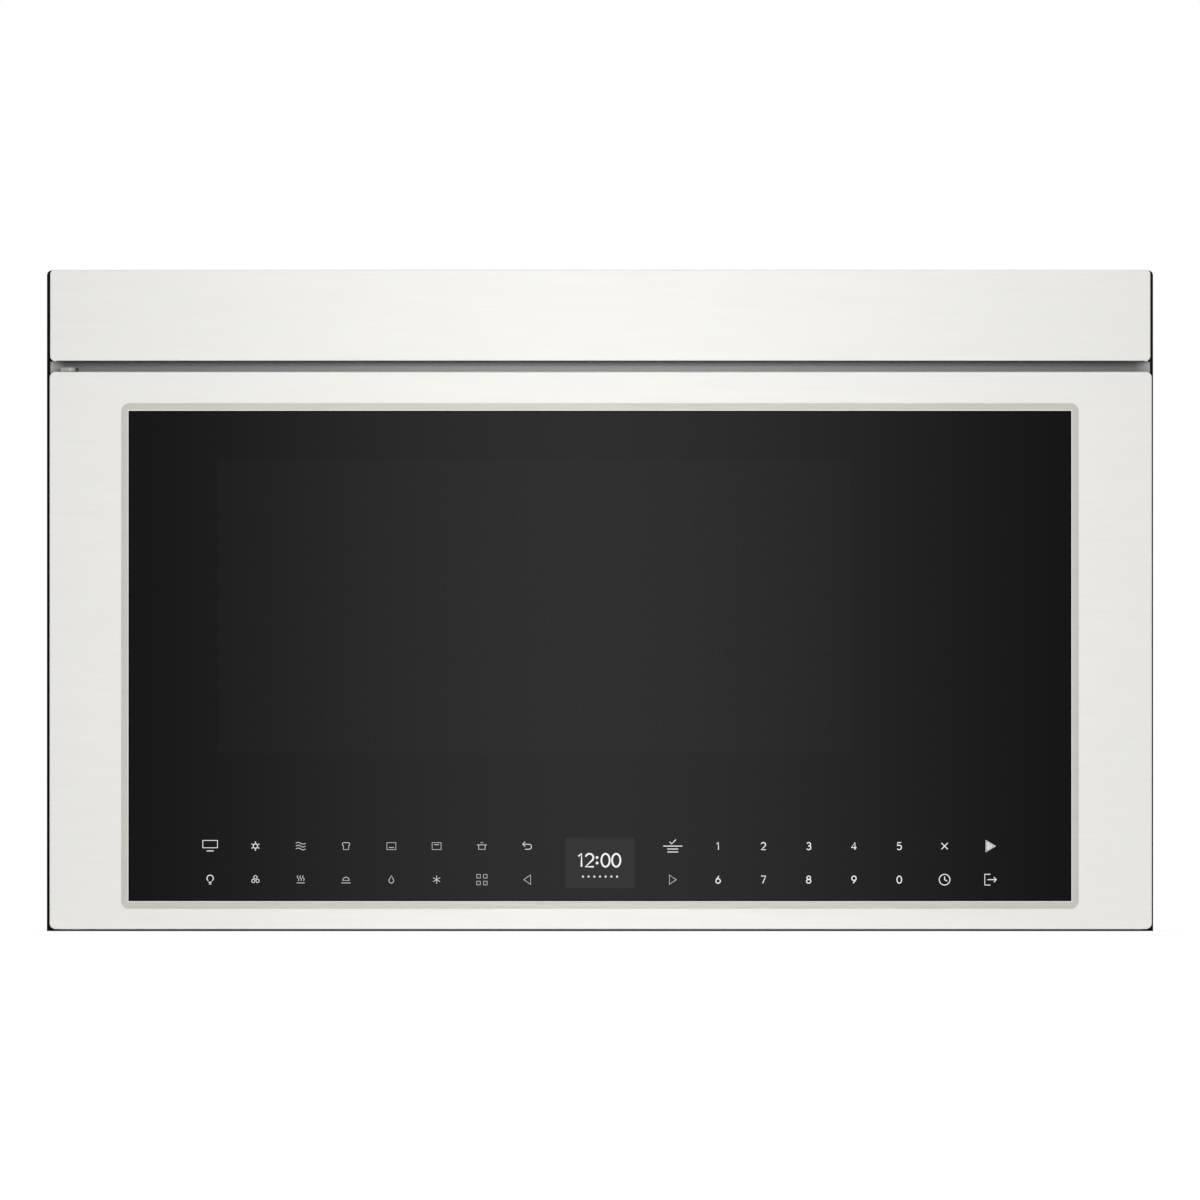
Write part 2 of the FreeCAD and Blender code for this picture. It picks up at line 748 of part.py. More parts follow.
def make_charcoal_filter():
    """Charcoal pad in its frame, laid over the air mouth from the front."""
    x = inside(MOUTH_X, "-charcoal_lap")
    z = inside(MOUTH_Z, "-charcoal_lap")
    y = (f"{FRAME_FRONT} - charcoal_thick", FRAME_FRONT)
    pad = block(x, y, z, "pad")
    rim_depth = "charcoal_thick/4"
    recess_y = (f"{y[0]} - 1", f"{y[0]} + {rim_depth}")
    recess = block(inside(x, "charcoal_lap*2"), recess_y, inside(z, "charcoal_lap*2"), "recess")
    return sub_part("charcoal_filter", cut(pad, recess, name="charcoal"))


def make_grease_filters():
    """Two aluminium mesh filters resting over the openings of the base plate."""
    z = ("base_wall", "base_wall + filter_thick")
    filters = []
    for x in filter_spots():
        slab = block(x, FILTER_Y, z, "slab")
        field = (inside(x, "filter_lap*1.5"), inside(FILTER_Y, "filter_lap*1.5"))
        recess = block(*field, ("base_wall - 1", "base_wall + filter_thick/4"), "recess")
        filters.append(cut(slab, recess, name="filter"))
    return sub_part("grease_filters", group(*filters, name="filters"))


def make_cooktop_lamps():
    """Two lamp modules standing on the base plate behind their lenses."""
    lamps = []
    for x in lamp_spots():
        z = ("base_wall", "base_wall + lamp_height")
        box = block(x, LAMP_Y, z, "lamp_box")
        hollow_z = ("base_wall - 1", "base_wall + lamp_height - lens_wall")
        hollow = block(inside(x, "lens_wall"), inside(LAMP_Y, "lens_wall"), hollow_z, "hollow")
        lamps.append(cut(box, hollow, name="lamp"))
    return sub_part("cooktop_lamps", group(*lamps, name="lamps"))


def make_lamp_lenses():
    """Two clear lenses let into the base plate's openings."""
    z = ("0", "lens_wall")
    lenses = [block(inside(x, "lens_wall"), inside(LAMP_Y, "lens_wall"), z, "lens") for x in lamp_spots()]
    return sub_part("lamp_lenses", group(*lenses, name="lenses"))


def make_power_inlet_bushing():
    """Flanged bush in the roof where the supply lead goes in."""
    stem = rod("Z", (f"{ROOF} - bushing_flange*3", "case_height"), BUSHING, "bushing_radius")
    collar_z = (f"{ROOF} - bushing_flange", ROOF)
    collar = rod("Z", collar_z, BUSHING, "bushing_radius + bushing_flange")
    bore = rod("Z", (f"{ROOF} - bushing_flange*4", "case_height + 1"), BUSHING, "bushing_radius/2")
    return sub_part("power_inlet_bushing", cut(fuse(stem, collar), bore, name="bushing"))


# Right-hand compartment and the waveguide on the cavity's right wall.
CAVITY_RIGHT = f"({CAVITY_X[1]} + cavity_wall)"
GUIDE_X = (CAVITY_RIGHT, f"({CAVITY_RIGHT} + guide_width)")
GUIDE_Y = around(TURN_Y, "guide_depth/2")
GUIDE_Z = around(OVEN_MIDDLE, "guide_height/2")
PORT_Y = around(TURN_Y, "port_depth/2")
PORT_Z = (f"{GUIDE_Z[0]} + cavity_wall*4", f"{GUIDE_Z[0]} + cavity_wall*4 + port_height")
ANTENNA = (TURN_Y, f"({GUIDE_Z[1]} - magnetron_height/2)")
SHELF_Z = ("(cavity_floor - shelf_drop)", "(cavity_floor - shelf_drop + shelf_wall)")
BAY_MIDDLE = f"(({CAVITY_RIGHT} + {SHELL_X[1]})/2)"
FAN_Y = f"({CASE_BACK} - fan_from_back)"

# Convection pocket behind the cavity, and the turntable's levels.
POCKET_BACK = f"({CAVITY_BACK} + convection_pocket)"
POCKET_RADIUS = f"(({CAVITY_Z[1]} - {CAVITY_Z[0]})/2 - pocket_margin)"
HEATER_RING = f"({POCKET_RADIUS} - heater_inset)"
WHEEL_RADIUS = f"({HEATER_RING} - wheel_inset)"
TRAY_RADIUS = f"(({CAVITY_BACK} - {FACE})/2 - tray_clearance)"
TRAY_FOOT = f"({TRAY_RADIUS} - tray_flare)"
ELEMENT_Z = f"({CAVITY_Z[1]} - broil_drop)"
AXLE_Z = "(cavity_floor + free_gap + roller_radius)"
TRAY_UNDER = "(cavity_floor + 2*free_gap + 2*roller_radius)"
SHAFT_TOP = f"({TRAY_UNDER} - coupler_height/3 - free_gap)"
LAMP_SPOT = (f"{FACE} + cavity_lamp_front", f"{CAVITY_Z[1]} - cavity_lamp_drop")


def broil_legs():
    """Places across the cavity of the four straight legs of the upper heater."""
    return [f"({TURN_X} + {step} * broil_pitch)" for step in (-1.5, -0.5, 0.5, 1.5)]


def convection_ends():
    """Places of the two terminals of the ring heater."""
    low = f"({OVEN_MIDDLE} - {HEATER_RING} * cos(15))"
    return [(f"({TURN_X} {sign} {HEATER_RING} * sin(15))", low) for sign in "-+"]


def make_oven_cavity():
    """Stamped oven box with a front flange and a round convection pocket at the back."""
    shell = [
        block(inside(CAVITY_X, "-cavity_wall"), (FRAME_BACK, f"{CAVITY_BACK} + cavity_wall"),
              inside(CAVITY_Z, "-cavity_wall"), "oven_outside"),
        block(inside(CAVITY_X, "-cavity_flange"), (FRAME_BACK, f"{FRAME_BACK} + cavity_wall"),
              inside(CAVITY_Z, "-cavity_flange"), "flange"),
        rod("Y", (CAVITY_BACK, f"{POCKET_BACK} + cavity_wall"), (TURN_X, OVEN_MIDDLE),
            f"{POCKET_RADIUS} + cavity_wall", "pocket_outside"),
    ]
    through_back = (f"{CAVITY_BACK} - 1", f"{CAVITY_BACK} + cavity_wall + 1")
    through_pocket = (f"{POCKET_BACK} - 1", f"{POCKET_BACK} + cavity_wall + 1")
    through_side = (f"{CAVITY_X[1]} - 1", f"{CAVITY_RIGHT} + 1")
    through_floor = ("cavity_floor - cavity_wall - 1", "cavity_floor + 1")
    hollows = [
        block(CAVITY_X, (f"{FRAME_BACK} - 1", CAVITY_BACK), CAVITY_Z, "oven_inside"),
        rod("Y", (f"{CAVITY_BACK} - 1", POCKET_BACK), (TURN_X, OVEN_MIDDLE), POCKET_RADIUS),
        rod("Z", through_floor, (TURN_X, TURN_Y), "drive_shaft * 1.5"),
        rod("Y", through_pocket, (TURN_X, OVEN_MIDDLE), "fan_shaft * 1.5"),
        block(through_side, PORT_Y, PORT_Z, "port"),
        rod("X", through_side, LAMP_SPOT, "cavity_lamp_radius * 0.8"),
    ]
    for leg in (broil_legs()[0], broil_legs()[-1]):
        hollows.append(rod("Y", through_back, (leg, ELEMENT_Z), "heater_radius + fit_gap"))
    for end in convection_ends():
        hollows.append(rod("Y", through_pocket, end, "heater_radius + fit_gap"))
    return sub_part("oven_cavity", cut(fuse(*shell, name="oven_shell"), *hollows, name="oven"))


def make_broil_element():
    """Upper heater: one tube in four legs and three half turns, hung from the ceiling by clips."""
    legs = broil_legs()
    front = f"({FACE} + broil_front + broil_pitch/2)"
    rear = f"({CAVITY_BACK} - broil_front - broil_pitch/2)"
    wall = f"({CAVITY_BACK} + cavity_wall + heater_radius*2)"
    spans = [(front, wall), (front, rear), (front, rear), (front, wall)]
    pieces = [rod("Y", span, (leg, ELEMENT_Z), "heater_radius") for span, leg in zip(spans, legs)]
    for number, (y, start) in enumerate(((front, 180), (rear, 0), (front, 180))):
        middle = f"({legs[number]} + broil_pitch/2)"
        bend = doc.addObject("Part::Torus", "half_turn")
        bend.setExpression("Radius1", bind("broil_pitch/2"))
        bend.setExpression("Radius2", bind("heater_radius"))
        bend.Angle3 = 180
        bend.Placement.Rotation = FreeCAD.Rotation(Z_AXIS, start)
        place(bend, middle, y, ELEMENT_Z)
        pieces.append(bend)
        clip_y = f"({y} {'-' if start else '+'} broil_pitch/2)"
        clip_x = around(middle, "heater_radius")
        clip_z = (ELEMENT_Z, CAVITY_Z[1])
        pieces.append(block(clip_x, around(clip_y, "heater_radius/2"), clip_z, "clip"))
    return sub_part("broil_element", fuse(*pieces, name="heater"))


def make_convection_element():
    """Ring heater round the convection fan, with two terminals through the pocket."""
    y = f"({CAVITY_BACK} + convection_pocket/2)"
    ring = doc.addObject("Part::Torus", "ring")
    ring.setExpression("Radius1", bind(HEATER_RING))
    ring.setExpression("Radius2", bind("heater_radius"))
    ring.Angle3 = 330
    ring.Placement.Rotation = FreeCAD.Rotation(X_AXIS, 90) * FreeCAD.Rotation(Z_AXIS, -75)
    place(ring, TURN_X, y, OVEN_MIDDLE)
    reach = (f"{y}", f"{POCKET_BACK} + cavity_wall + heater_radius*2")
    ends = [rod("Y", reach, end, "heater_radius") for end in convection_ends()]
    balls = []
    for x, z in convection_ends():
        ball = doc.addObject("Part::Sphere", "corner")
        ball.setExpression("Radius", bind("heater_radius"))
        place(ball, x, y, z)
        balls.append(ball)
    return sub_part("convection_element", fuse(ring, *ends, *balls, name="ring_heater"))


def make_convection_cover():
    """Perforated disc over the convection pocket, fixed to the cavity's back wall."""
    piece = Piece("convection_cover")
    front = f"({CAVITY_BACK} - cover_wall)"
    centre = (TURN_X, OVEN_MIDDLE)
    face = piece.sketch("XZ", front, centre)
    piece.circle(face, "0", "0", f"{POCKET_RADIUS} + cover_lap")
    piece.pad(face, "cover_wall")
    rings = int(measure(f"({POCKET_RADIUS} - cover_hole) / cover_pitch"))
    for ring in range(1, rings + 1):
        spot = piece.sketch("XZ", f"{front} - cover_wall", centre)
        piece.circle(spot, f"{ring} * cover_pitch", "0", "cover_hole")
        hole = piece.pocket(spot, "cover_wall * 3")
        piece.repeat_round(hole, spot, str(ring * 6))
    return piece.done()


def make_convection_fan():
    """Steel wheel with upright blades and its shaft, turning in the pocket."""
    piece = Piece("convection_fan")
    centre = (TURN_X, OVEN_MIDDLE)
    disc_y = f"({POCKET_BACK} - convection_depth/4 - cavity_wall)"
    disc = piece.sketch("XZ", disc_y, centre)
    piece.circle(disc, "0", "0", WHEEL_RADIUS)
    piece.pad(disc, "cavity_wall")
    hub = piece.sketch("XZ", f"{disc_y} - convection_depth/2", centre)
    piece.circle(hub, "0", "0", "fan_shaft * 3")
    piece.pad(hub, "convection_depth/2 + cavity_wall")
    shaft = piece.sketch("XZ", f"{disc_y} - convection_depth/2", centre)
    piece.circle(shaft, "0", "0", "fan_shaft")
    piece.pad(shaft, f"{POCKET_BACK} + convection_motor_depth/2 - {disc_y} + convection_depth/2")
    blade = piece.sketch("XZ", f"{disc_y} - convection_depth", centre)
    reach = (f"{WHEEL_RADIUS} * 0.45", f"{WHEEL_RADIUS} * 0.98")
    piece.rectangle(blade, reach, around("0", "blade_wall/2"))
    pad = piece.pad(blade, "convection_depth + cavity_wall")
    piece.repeat_round(pad, blade, "convection_blades")
    return piece.done()


def make_convection_motor():
    """Motor behind the convection pocket."""
    back = f"({POCKET_BACK} + cavity_wall)"
    centre = (TURN_X, OVEN_MIDDLE)
    can = rod("Y", (back, f"{back} + convection_motor_depth"), centre, "convection_motor_radius")
    foot_x = around(TURN_X, "convection_motor_radius * 1.4")
    foot_z = around(OVEN_MIDDLE, "convection_motor_radius/3")
    foot = block(foot_x, (back, f"{back} + flange_thick"), foot_z, "foot")
    bore = rod("Y", (f"{back} - 1", f"{POCKET_BACK} + convection_motor_depth/2 + free_gap"), centre,
               "fan_shaft + fit_gap")
    return sub_part("convection_motor", cut(fuse(can, foot), bore, name="motor"))


def make_turntable_motor():
    """Flat geared motor under the cavity floor, with its drive shaft through the floor."""
    under = "(cavity_floor - cavity_wall)"
    centre = (TURN_X, TURN_Y)
    can = rod("Z", (f"{under} - turn_motor_height", under), centre, "turn_motor_radius")
    ear_z = (f"{under} - flange_thick", under)
    ears = block(around(TURN_X, "turn_motor_radius * 1.4"), around(TURN_Y, "turn_motor_radius/4"), ear_z)
    shaft = rod("Z", (under, SHAFT_TOP), centre, "drive_shaft")
    return sub_part("turntable_motor", fuse(can, ears, shaft, name="motor"))


def make_turntable_coupler():
    """Three-armed drive under the tray."""
    centre = (TURN_X, TURN_Y)
    hub = rod("Z", ("cavity_floor + 4*free_gap", TRAY_UNDER), centre, "coupler_radius")
    arms = []
    for number in range(3):
        arm = doc.addObject("Part::Box", "arm")
        arm.setExpression("Length", bind("coupler_arm"))
        arm.setExpression("Width", bind("coupler_width"))
        arm.setExpression("Height", bind("coupler_height"))
        turn = 120 * number
        arm.Placement.Rotation = FreeCAD.Rotation(Z_AXIS, turn)
        x = f"{TURN_X} + sin({turn}) * coupler_width/2"
        y = f"{TURN_Y} - cos({turn}) * coupler_width/2"
        place(arm, x, y, f"{TRAY_UNDER} - coupler_height")
        arms.append(arm)
    bore = rod("Z", ("cavity_floor", f"{SHAFT_TOP} + free_gap"), centre, "drive_shaft + fit_gap")
    return sub_part("turntable_coupler", cut(fuse(hub, *arms), bore, name="coupler"))


def make_glass_tray():
    """Round glass tray with a raised rim."""
    piece = Piece("glass_tray")
    section = piece.sketch("XZ", TURN_Y, (TURN_X, TRAY_UNDER))
    piece.outline(section, [
        ("0", "0"), (TRAY_FOOT, "0"),
        (TRAY_RADIUS, "tray_rise - tray_wall"), (TRAY_RADIUS, "tray_rise"),
        (f"{TRAY_RADIUS} - tray_wall", "tray_rise"), (f"{TRAY_FOOT} - tray_wall/2", "tray_wall"),
        ("0", "tray_wall"),
    ])
    piece.revolve(section, "V_Axis")
    return piece.done()


def spoke(angle, span, radius, name="spoke"):
    """A round solid along a radius of the turntable, at the rollers' axle height."""
    solid = doc.addObject("Part::Cylinder", name)
    solid.setExpression("Radius", bind(radius))
    solid.setExpression("Height", bind(f"({span[1]}) - ({span[0]})"))
    solid.Placement.Rotation = FreeCAD.Rotation(Z_AXIS, angle) * TURNS["X"]
    x = f"{TURN_X} + cos({angle}) * ({span[0]})"
    y = f"{TURN_Y} + sin({angle}) * ({span[0]})"
    place(solid, x, y, AXLE_Z)
    return solid


ROLLER_ANGLES = (90, 210, 330)
ROLLER_SPAN = around("roller_track", "roller_width/2")


def make_turntable_ring():
    """Ring that carries the three rollers on radial pins."""
    outer = f"{ROLLER_SPAN[0]} - free_gap"
    ring = tube("Z", around(AXLE_Z, "ring_thick/2"), (TURN_X, TURN_Y), outer, f"{outer} - ring_width")
    cap_start = f"{ROLLER_SPAN[1]} + free_gap"
    pins = []
    for angle in ROLLER_ANGLES:
        pins.append(spoke(angle, (f"{outer} - ring_width/2", cap_start), "roller_pin"))
        pins.append(spoke(angle, (cap_start, f"{cap_start} + roller_pin/2"), "roller_pin * 1.5"))
    return sub_part("turntable_ring", fuse(ring, *pins, name="roller_ring"))


def make_turntable_rollers():
    """Three small wheels between the cavity floor and the tray."""
    past = inside(ROLLER_SPAN, "-1")
    for number, angle in enumerate(ROLLER_ANGLES, start=1):
        wheel = spoke(angle, ROLLER_SPAN, "roller_radius", "wheel")
        bore = spoke(angle, past, "roller_pin + fit_gap", "bore")
        sub_part(f"turntable_roller_{number}", cut(wheel, bore, name="roller"))


def make_waveguide():
    """Steel duct from the magnetron's antenna to the cavity's port."""
    box = block(GUIDE_X, GUIDE_Y, GUIDE_Z, "duct")
    hollow_x = (f"{GUIDE_X[0]} - 1", f"{GUIDE_X[1]} - cavity_wall")
    hollow = block(hollow_x, inside(GUIDE_Y, "cavity_wall"), inside(GUIDE_Z, "cavity_wall"), "hollow")
    hole = rod("X", (f"{GUIDE_X[1]} - cavity_wall - 1", f"{GUIDE_X[1]} + 1"), ANTENNA, "anode_radius * 0.6")
    return sub_part("waveguide", cut(box, hollow, hole, name="guide"))


def make_waveguide_cover():
    """Mica sheet over the port, inside the cavity."""
    x = (f"{CAVITY_X[1]} - cover_wall", CAVITY_X[1])
    y = inside(PORT_Y, "-cover_lap")
    return sub_part("waveguide_cover", block(x, y, inside(PORT_Z, "-cover_lap"), "mica"))


def make_magnetron():
    """Magnetron: yoke, cooling fins round the anode, antenna and filter box."""
    left = GUIDE_X[1]
    right = f"({left} + magnetron_length)"
    y = around(ANTENNA[0], "magnetron_width/2")
    z = around(ANTENNA[1], "magnetron_height/2")
    yoke = block((left, right), y, z, "yoke")
    window_y = inside(y, "-1")
    window = block(inside((left, right), "flange_thick"), window_y, inside(z, "flange_thick"), "window")
    pieces = [cut(yoke, window, name="yoke_frame"), rod("X", (left, right), ANTENNA, "anode_radius")]
    for number in range(1, int(measure("fin_count")) + 1):
        x = f"({left} + {number} * magnetron_length / (fin_count + 1))"
        pieces.append(block(around(x, "fin_wall/2"), y, inside(z, "flange_thick"), "fin"))
    pieces.append(rod("X", (f"{GUIDE_X[0]} + cavity_wall*4", left), ANTENNA, "anode_radius * 0.4", "antenna"))
    box_x = (right, f"{right} + winding_wrap * 2")
    box_yz = (around(ANTENNA[0], "anode_radius"), around(ANTENNA[1], "anode_radius"))
    pieces.append(block(box_x, *box_yz, "filter_box"))
    return sub_part("magnetron", fuse(*pieces, name="tube"))


def make_high_voltage_transformer():
    """Laminated core with its winding, standing on the shelf."""
    x = around(BAY_MIDDLE, "transformer_width/2")
    y = around(TURN_Y, "transformer_depth/2")
    z = (SHELF_Z[1], f"{SHELF_Z[1]} + transformer_height")
    core = block(x, inside(y, "winding_wrap"), z, "core")
    winding = block(inside(x, "winding_wrap"), y, inside(z, "winding_wrap"), "winding")
    return sub_part("high_voltage_transformer", fuse(core, winding, name="transformer"))


def make_high_voltage_capacitor():
    """Capacitor can with two terminals, standing on the shelf."""
    centre = (BAY_MIDDLE, f"({TURN_Y} + transformer_depth/2 + capacitor_radius*2)")
    top = f"({SHELF_Z[1]} + capacitor_height)"
    pieces = [rod("Z", (SHELF_Z[1], top), centre, "capacitor_radius")]
    for sign in "-+":
        spot = (f"{centre[0]} {sign} capacitor_radius/3", centre[1])
        pieces.append(rod("Z", (top, f"{top} + standoff"), spot, "fan_shaft"))
    return sub_part("high_voltage_capacitor", fuse(*pieces, name="capacitor"))


def make_component_shelf():
    """Sheet shelf across the right-hand compartment."""
    x = (f"{CAVITY_X[1]} - shelf_under", SHELL_X[1])
    shelf = block(x, (FRAME_BACK, PLATE_FRONT), SHELF_Z, "shelf_sheet")
    leg_z = ("base_wall", SHELF_Z[0])
    leg_y = (f"{FRAME_BACK} + base_rim", f"{PLATE_FRONT} - base_rim")
    leg_x = "(filter_apart/2 + filter_width + filter_lap)"
    leg = block((leg_x, f"{leg_x} + shelf_wall"), leg_y, leg_z, "leg")
    return sub_part("component_shelf", fuse(shelf, leg, name="bent_shelf"))


def make_cooling_fan_housing():
    """Square fan frame on a bracket that stands on the shelf."""
    x = around(BAY_MIDDLE, "fan_side/2")
    z = around(ANTENNA[1], "fan_side/2")
    y = (FAN_Y, f"({FAN_Y} + fan_frame)")
    frame = block(x, y, z, "fan_body")
    bracket = block(x, (y[0], f"{y[0]} + flange_thick"), (SHELF_Z[1], z[0]), "bracket")
    centre = (BAY_MIDDLE, ANTENNA[1])
    bore = rod("Y", inside(y, "-1"), centre, "fan_radius + free_gap*4")
    ring = cut(fuse(frame, bracket), bore, name="open_frame")
    bar_y = (f"{y[1]} - flange_thick", y[1])
    bar = block(x, bar_y, around(ANTENNA[1], "fan_hub"), "bar")
    hole = rod("Y", inside(bar_y, "-1"), centre, "fan_shaft * 1.5")
    return sub_part("cooling_fan_housing", fuse(ring, cut(bar, hole, name="drilled_bar"), name="fan_housing"))


def make_cooling_fan():
    """Axial fan with pitched blades and its shaft."""
    centre = (BAY_MIDDLE, ANTENNA[1])
    y = inside((FAN_Y, f"{FAN_Y} + fan_frame - flange_thick"), "flange_thick")
    shaft_y = (y[0], f"{FAN_Y} + fan_frame + fan_motor_depth/2")
    pieces = [rod("Y", y, centre, "fan_hub"), rod("Y", shaft_y, centre, "fan_shaft")]
    for number in range(int(measure("fan_blades"))):
        blade = doc.addObject("Part::Box", "blade")
        blade.setExpression("Length", bind("fan_radius * 0.98"))
        blade.setExpression("Width", bind("fan_frame * 0.6"))
        blade.setExpression("Height", bind("blade_wall"))
        tilt = FreeCAD.Rotation(X_AXIS, measure("blade_pitch"))
        turn = FreeCAD.Rotation(Y_AXIS, 360 * number / measure("fan_blades"))
        middle = FreeCAD.Vector(0, -measure("fan_frame * 0.3"), -measure("blade_wall/2"))
        spot = FreeCAD.Vector(measure(centre[0]), measure(f"({y[0]} + {y[1]})/2"), measure(centre[1]))
        blade.Placement = FreeCAD.Placement(spot + (turn * tilt).multVec(middle), turn * tilt)
        pieces.append(blade)
    return sub_part("cooling_fan", fuse(*pieces, name="propeller"))


def make_cooling_fan_motor():
    """Shaded-pole motor behind the fan frame's bar."""
    front = f"({FAN_Y} + fan_frame)"
    y = (front, f"({front} + fan_motor_depth)")
    body = block(around(BAY_MIDDLE, "fan_motor_side/2"), y, around(ANTENNA[1], "fan_motor_side/2"), "stack")
    bore = rod("Y", (f"{front} - 1", f"{front} + fan_motor_depth/2 + free_gap"), (BAY_MIDDLE, ANTENNA[1]),
               "fan_shaft + fit_gap")
    return sub_part("cooling_fan_motor", cut(body, bore, name="motor"))


def make_cavity_lamp():
    """Lamp and holder on the outside of the cavity's right wall."""
    x = (CAVITY_RIGHT, f"{CAVITY_RIGHT} + cavity_lamp_length")
    stem = rod("X", x, LAMP_SPOT, "cavity_lamp_radius")
    flange_x = (CAVITY_RIGHT, f"{CAVITY_RIGHT} + flange_thick")
    flange = rod("X", flange_x, LAMP_SPOT, "cavity_lamp_radius * 1.4")
    return sub_part("cavity_lamp", fuse(stem, flange, name="lamp"))


def make_power_board():
    """Main circuit board on standoffs from the right case side, with relays."""
    board_right = f"({SHELL_X[1]} - standoff)"
    x = (f"({board_right} - board_wall)", board_right)
    y = (f"({FRAME_BACK} + latch_board_width)", f"({FRAME_BACK} + latch_board_width + power_board_depth)")
    z = (f"({SHELF_Z[1]} + standoff)", f"({SHELF_Z[1]} + standoff + power_board_height)")
    pieces = [block(x, y, z, "board")]
    for corner_y in inside(y, "standoff"):
        for corner_z in inside(z, "standoff"):
            pieces.append(rod("X", (x[0], SHELL_X[1]), (corner_y, corner_z), "fan_shaft"))
    relay_x = (f"{x[0]} - relay_side * 0.7", x[0])
    for step in range(3):
        low = f"({y[0]} + relay_side * {1 + 1.6 * step})"
        relay_z = (f"{z[0]} + relay_side", f"{z[0]} + relay_side * 2")
        pieces.append(block(relay_x, (low, f"{low} + relay_side"), relay_z, "relay"))
    return sub_part("power_board", fuse(*pieces, name="circuit"))


# Layers of the door from its glass to its back, and the window in them.
GLASS_FRONT = f"({FRONT} + glass_sunk)"
GLASS_BACK = f"({GLASS_FRONT} + glass_thick)"
CHOKE_FRONT = f"({DOOR_BACK} - choke_thick)"
MOULD_BACK = f"({CHOKE_FRONT} - mould_wall)"
WINDOW_X = inside(CAVITY_X, "window_side")
WINDOW_Z = inside(CAVITY_Z, "window_edge")
PANE_X = inside(WINDOW_X, "-pane_lap")
PANE_Z = inside(WINDOW_Z, "-pane_lap")
CHOKE_X = (f"({HINGE[0]} + choke_inset)", f"({DOOR_X[1]} - choke_inset)")
CHOKE_Z = inside(DOOR_Z, "choke_inset")
TOUCH_Z = (f"({GLASS_Z[0]} + touch_rise)", f"({GLASS_Z[0]} + touch_rise + touch_height)")
DISPLAY_X = around("0", "display_width/2")
DISPLAY_Z = (f"({GLASS_Z[0]} + display_rise)", f"({GLASS_Z[0]} + display_rise + display_height)")
NOTCH_TOP = f"({LOW_ARM_Z[1]} + free_gap)"
BUSH_RADIUS = "(hinge_pin + fit_gap + bush_wall)"
TOP_BUSH_Z = (f"({DOOR_Z[1]} - pin_length)", DOOR_Z[1])
LOW_BUSH_Z = (NOTCH_TOP, f"({NOTCH_TOP} + pin_length)")

# Latch bar inside the door, and the switches behind its hooks.
BAR_Y = (f"({MOULD_BACK} - free_gap - latch_bar_depth)", f"({MOULD_BACK} - free_gap)")
BAR_Z = ("(hook_low - latch_end)", f"({UPPER_HOOK} + hook_height + latch_end)")
SPRING_TOP = f"({BAR_Z[1]} + latch_spring_length)"
HOOK_MIDDLE = f"({DOOR_X[1]} - hook_from_right)"
SWITCH_FRONT = f"({HOOK_BACK} + plunger_travel + 2*free_gap)"
RELEASE_Y = f"({HOOK_BACK} - hook_tip/2)"
RELEASE_TOP = "(hook_low - hook_drop - free_gap)"
SOLENOID_TOP = f"({RELEASE_TOP} - release_out)"


def ring(x, y, z, wall, name="ring"):
    """A rectangular frame that is open along the depth."""
    return cut(block(x, y, z), block(inside(x, wall), inside(y, "-1"), inside(z, wall)), name=name)


def hinge_notch():
    """Room for the lower hinge arm in the door's lower left corner, over the door's whole swing."""
    x = (f"{DOOR_X[0]} - 1", f"{ARM_X[1]} + 2*free_gap")
    return block(x, (f"{SKIN_FRONT} + door_bend", f"{DOOR_BACK} + 1"), ("0", NOTCH_TOP), "notch")


def make_door_skin():
    """Folded steel door front with an opening for the glass."""
    back = f"{SKIN_FRONT} + skin_return"
    piece = pan("door_skin_body", DOOR_X, DOOR_Z, SKIN_FRONT, back, "door_corner", "door_bend")
    opening = piece.sketch("XZ", f"{SKIN_FRONT} - skin_wall")
    piece.rectangle(opening, inside(TRIM_X, "trim_lap"), inside(TRIM_Z, "trim_lap"))
    piece.pocket(opening, "skin_wall * 3")
    hole = piece.sketch("XY", f"{DOOR_Z[1]} - skin_wall * 2")
    piece.circle(hole, *HINGE, BUSH_RADIUS)
    piece.pocket(hole, "skin_wall * 3")
    return sub_part("door_skin", cut(piece.body, hinge_notch(), name="notched_skin"))


def make_window_trim():
    """Bright frame: a thin lip over the skin's opening and a collar round the glass."""
    piece = Piece("window_trim")
    lip = piece.sketch("XZ", FRONT)
    piece.rectangle(lip, TRIM_X, TRIM_Z)
    piece.pad(lip, "trim_proud")
    piece.round("trim_corner", lambda edge: runs_along(edge, Y_AXIS))
    collar = piece.sketch("XZ", SKIN_FRONT)
    piece.rectangle(collar, inside(TRIM_X, "trim_lap"), inside(TRIM_Z, "trim_lap"))
    piece.pad(collar, f"{GLASS_BACK} - {SKIN_FRONT}")
    opening = piece.sketch("XZ", f"{FRONT} - trim_proud")
    piece.rectangle(opening, GLASS_X, GLASS_Z)
    piece.pocket(opening, f"{GLASS_BACK} - {FRONT} + trim_proud * 2")
    return piece.done()


def make_door_glass():
    """Tinted glass inside the bright frame."""
    return sub_part("door_glass", block(GLASS_X, (GLASS_FRONT, GLASS_BACK), GLASS_Z, "glass"))


def make_touch_board():
    """Touch board on the glass's back, with an opening for the display."""
    y = (GLASS_BACK, f"{GLASS_BACK} + board_wall")
    board = block(inside(GLASS_X, "touch_margin"), y, TOUCH_Z, "touch")
    return sub_part("touch_board", cut(board, block(DISPLAY_X, inside(y, "-1"), DISPLAY_Z), name="board"))


def make_display_module():
    """Display let into the touch board."""
    y = (GLASS_BACK, f"{GLASS_BACK} + display_depth")
    return sub_part("display_module", block(DISPLAY_X, y, DISPLAY_Z, "display"))


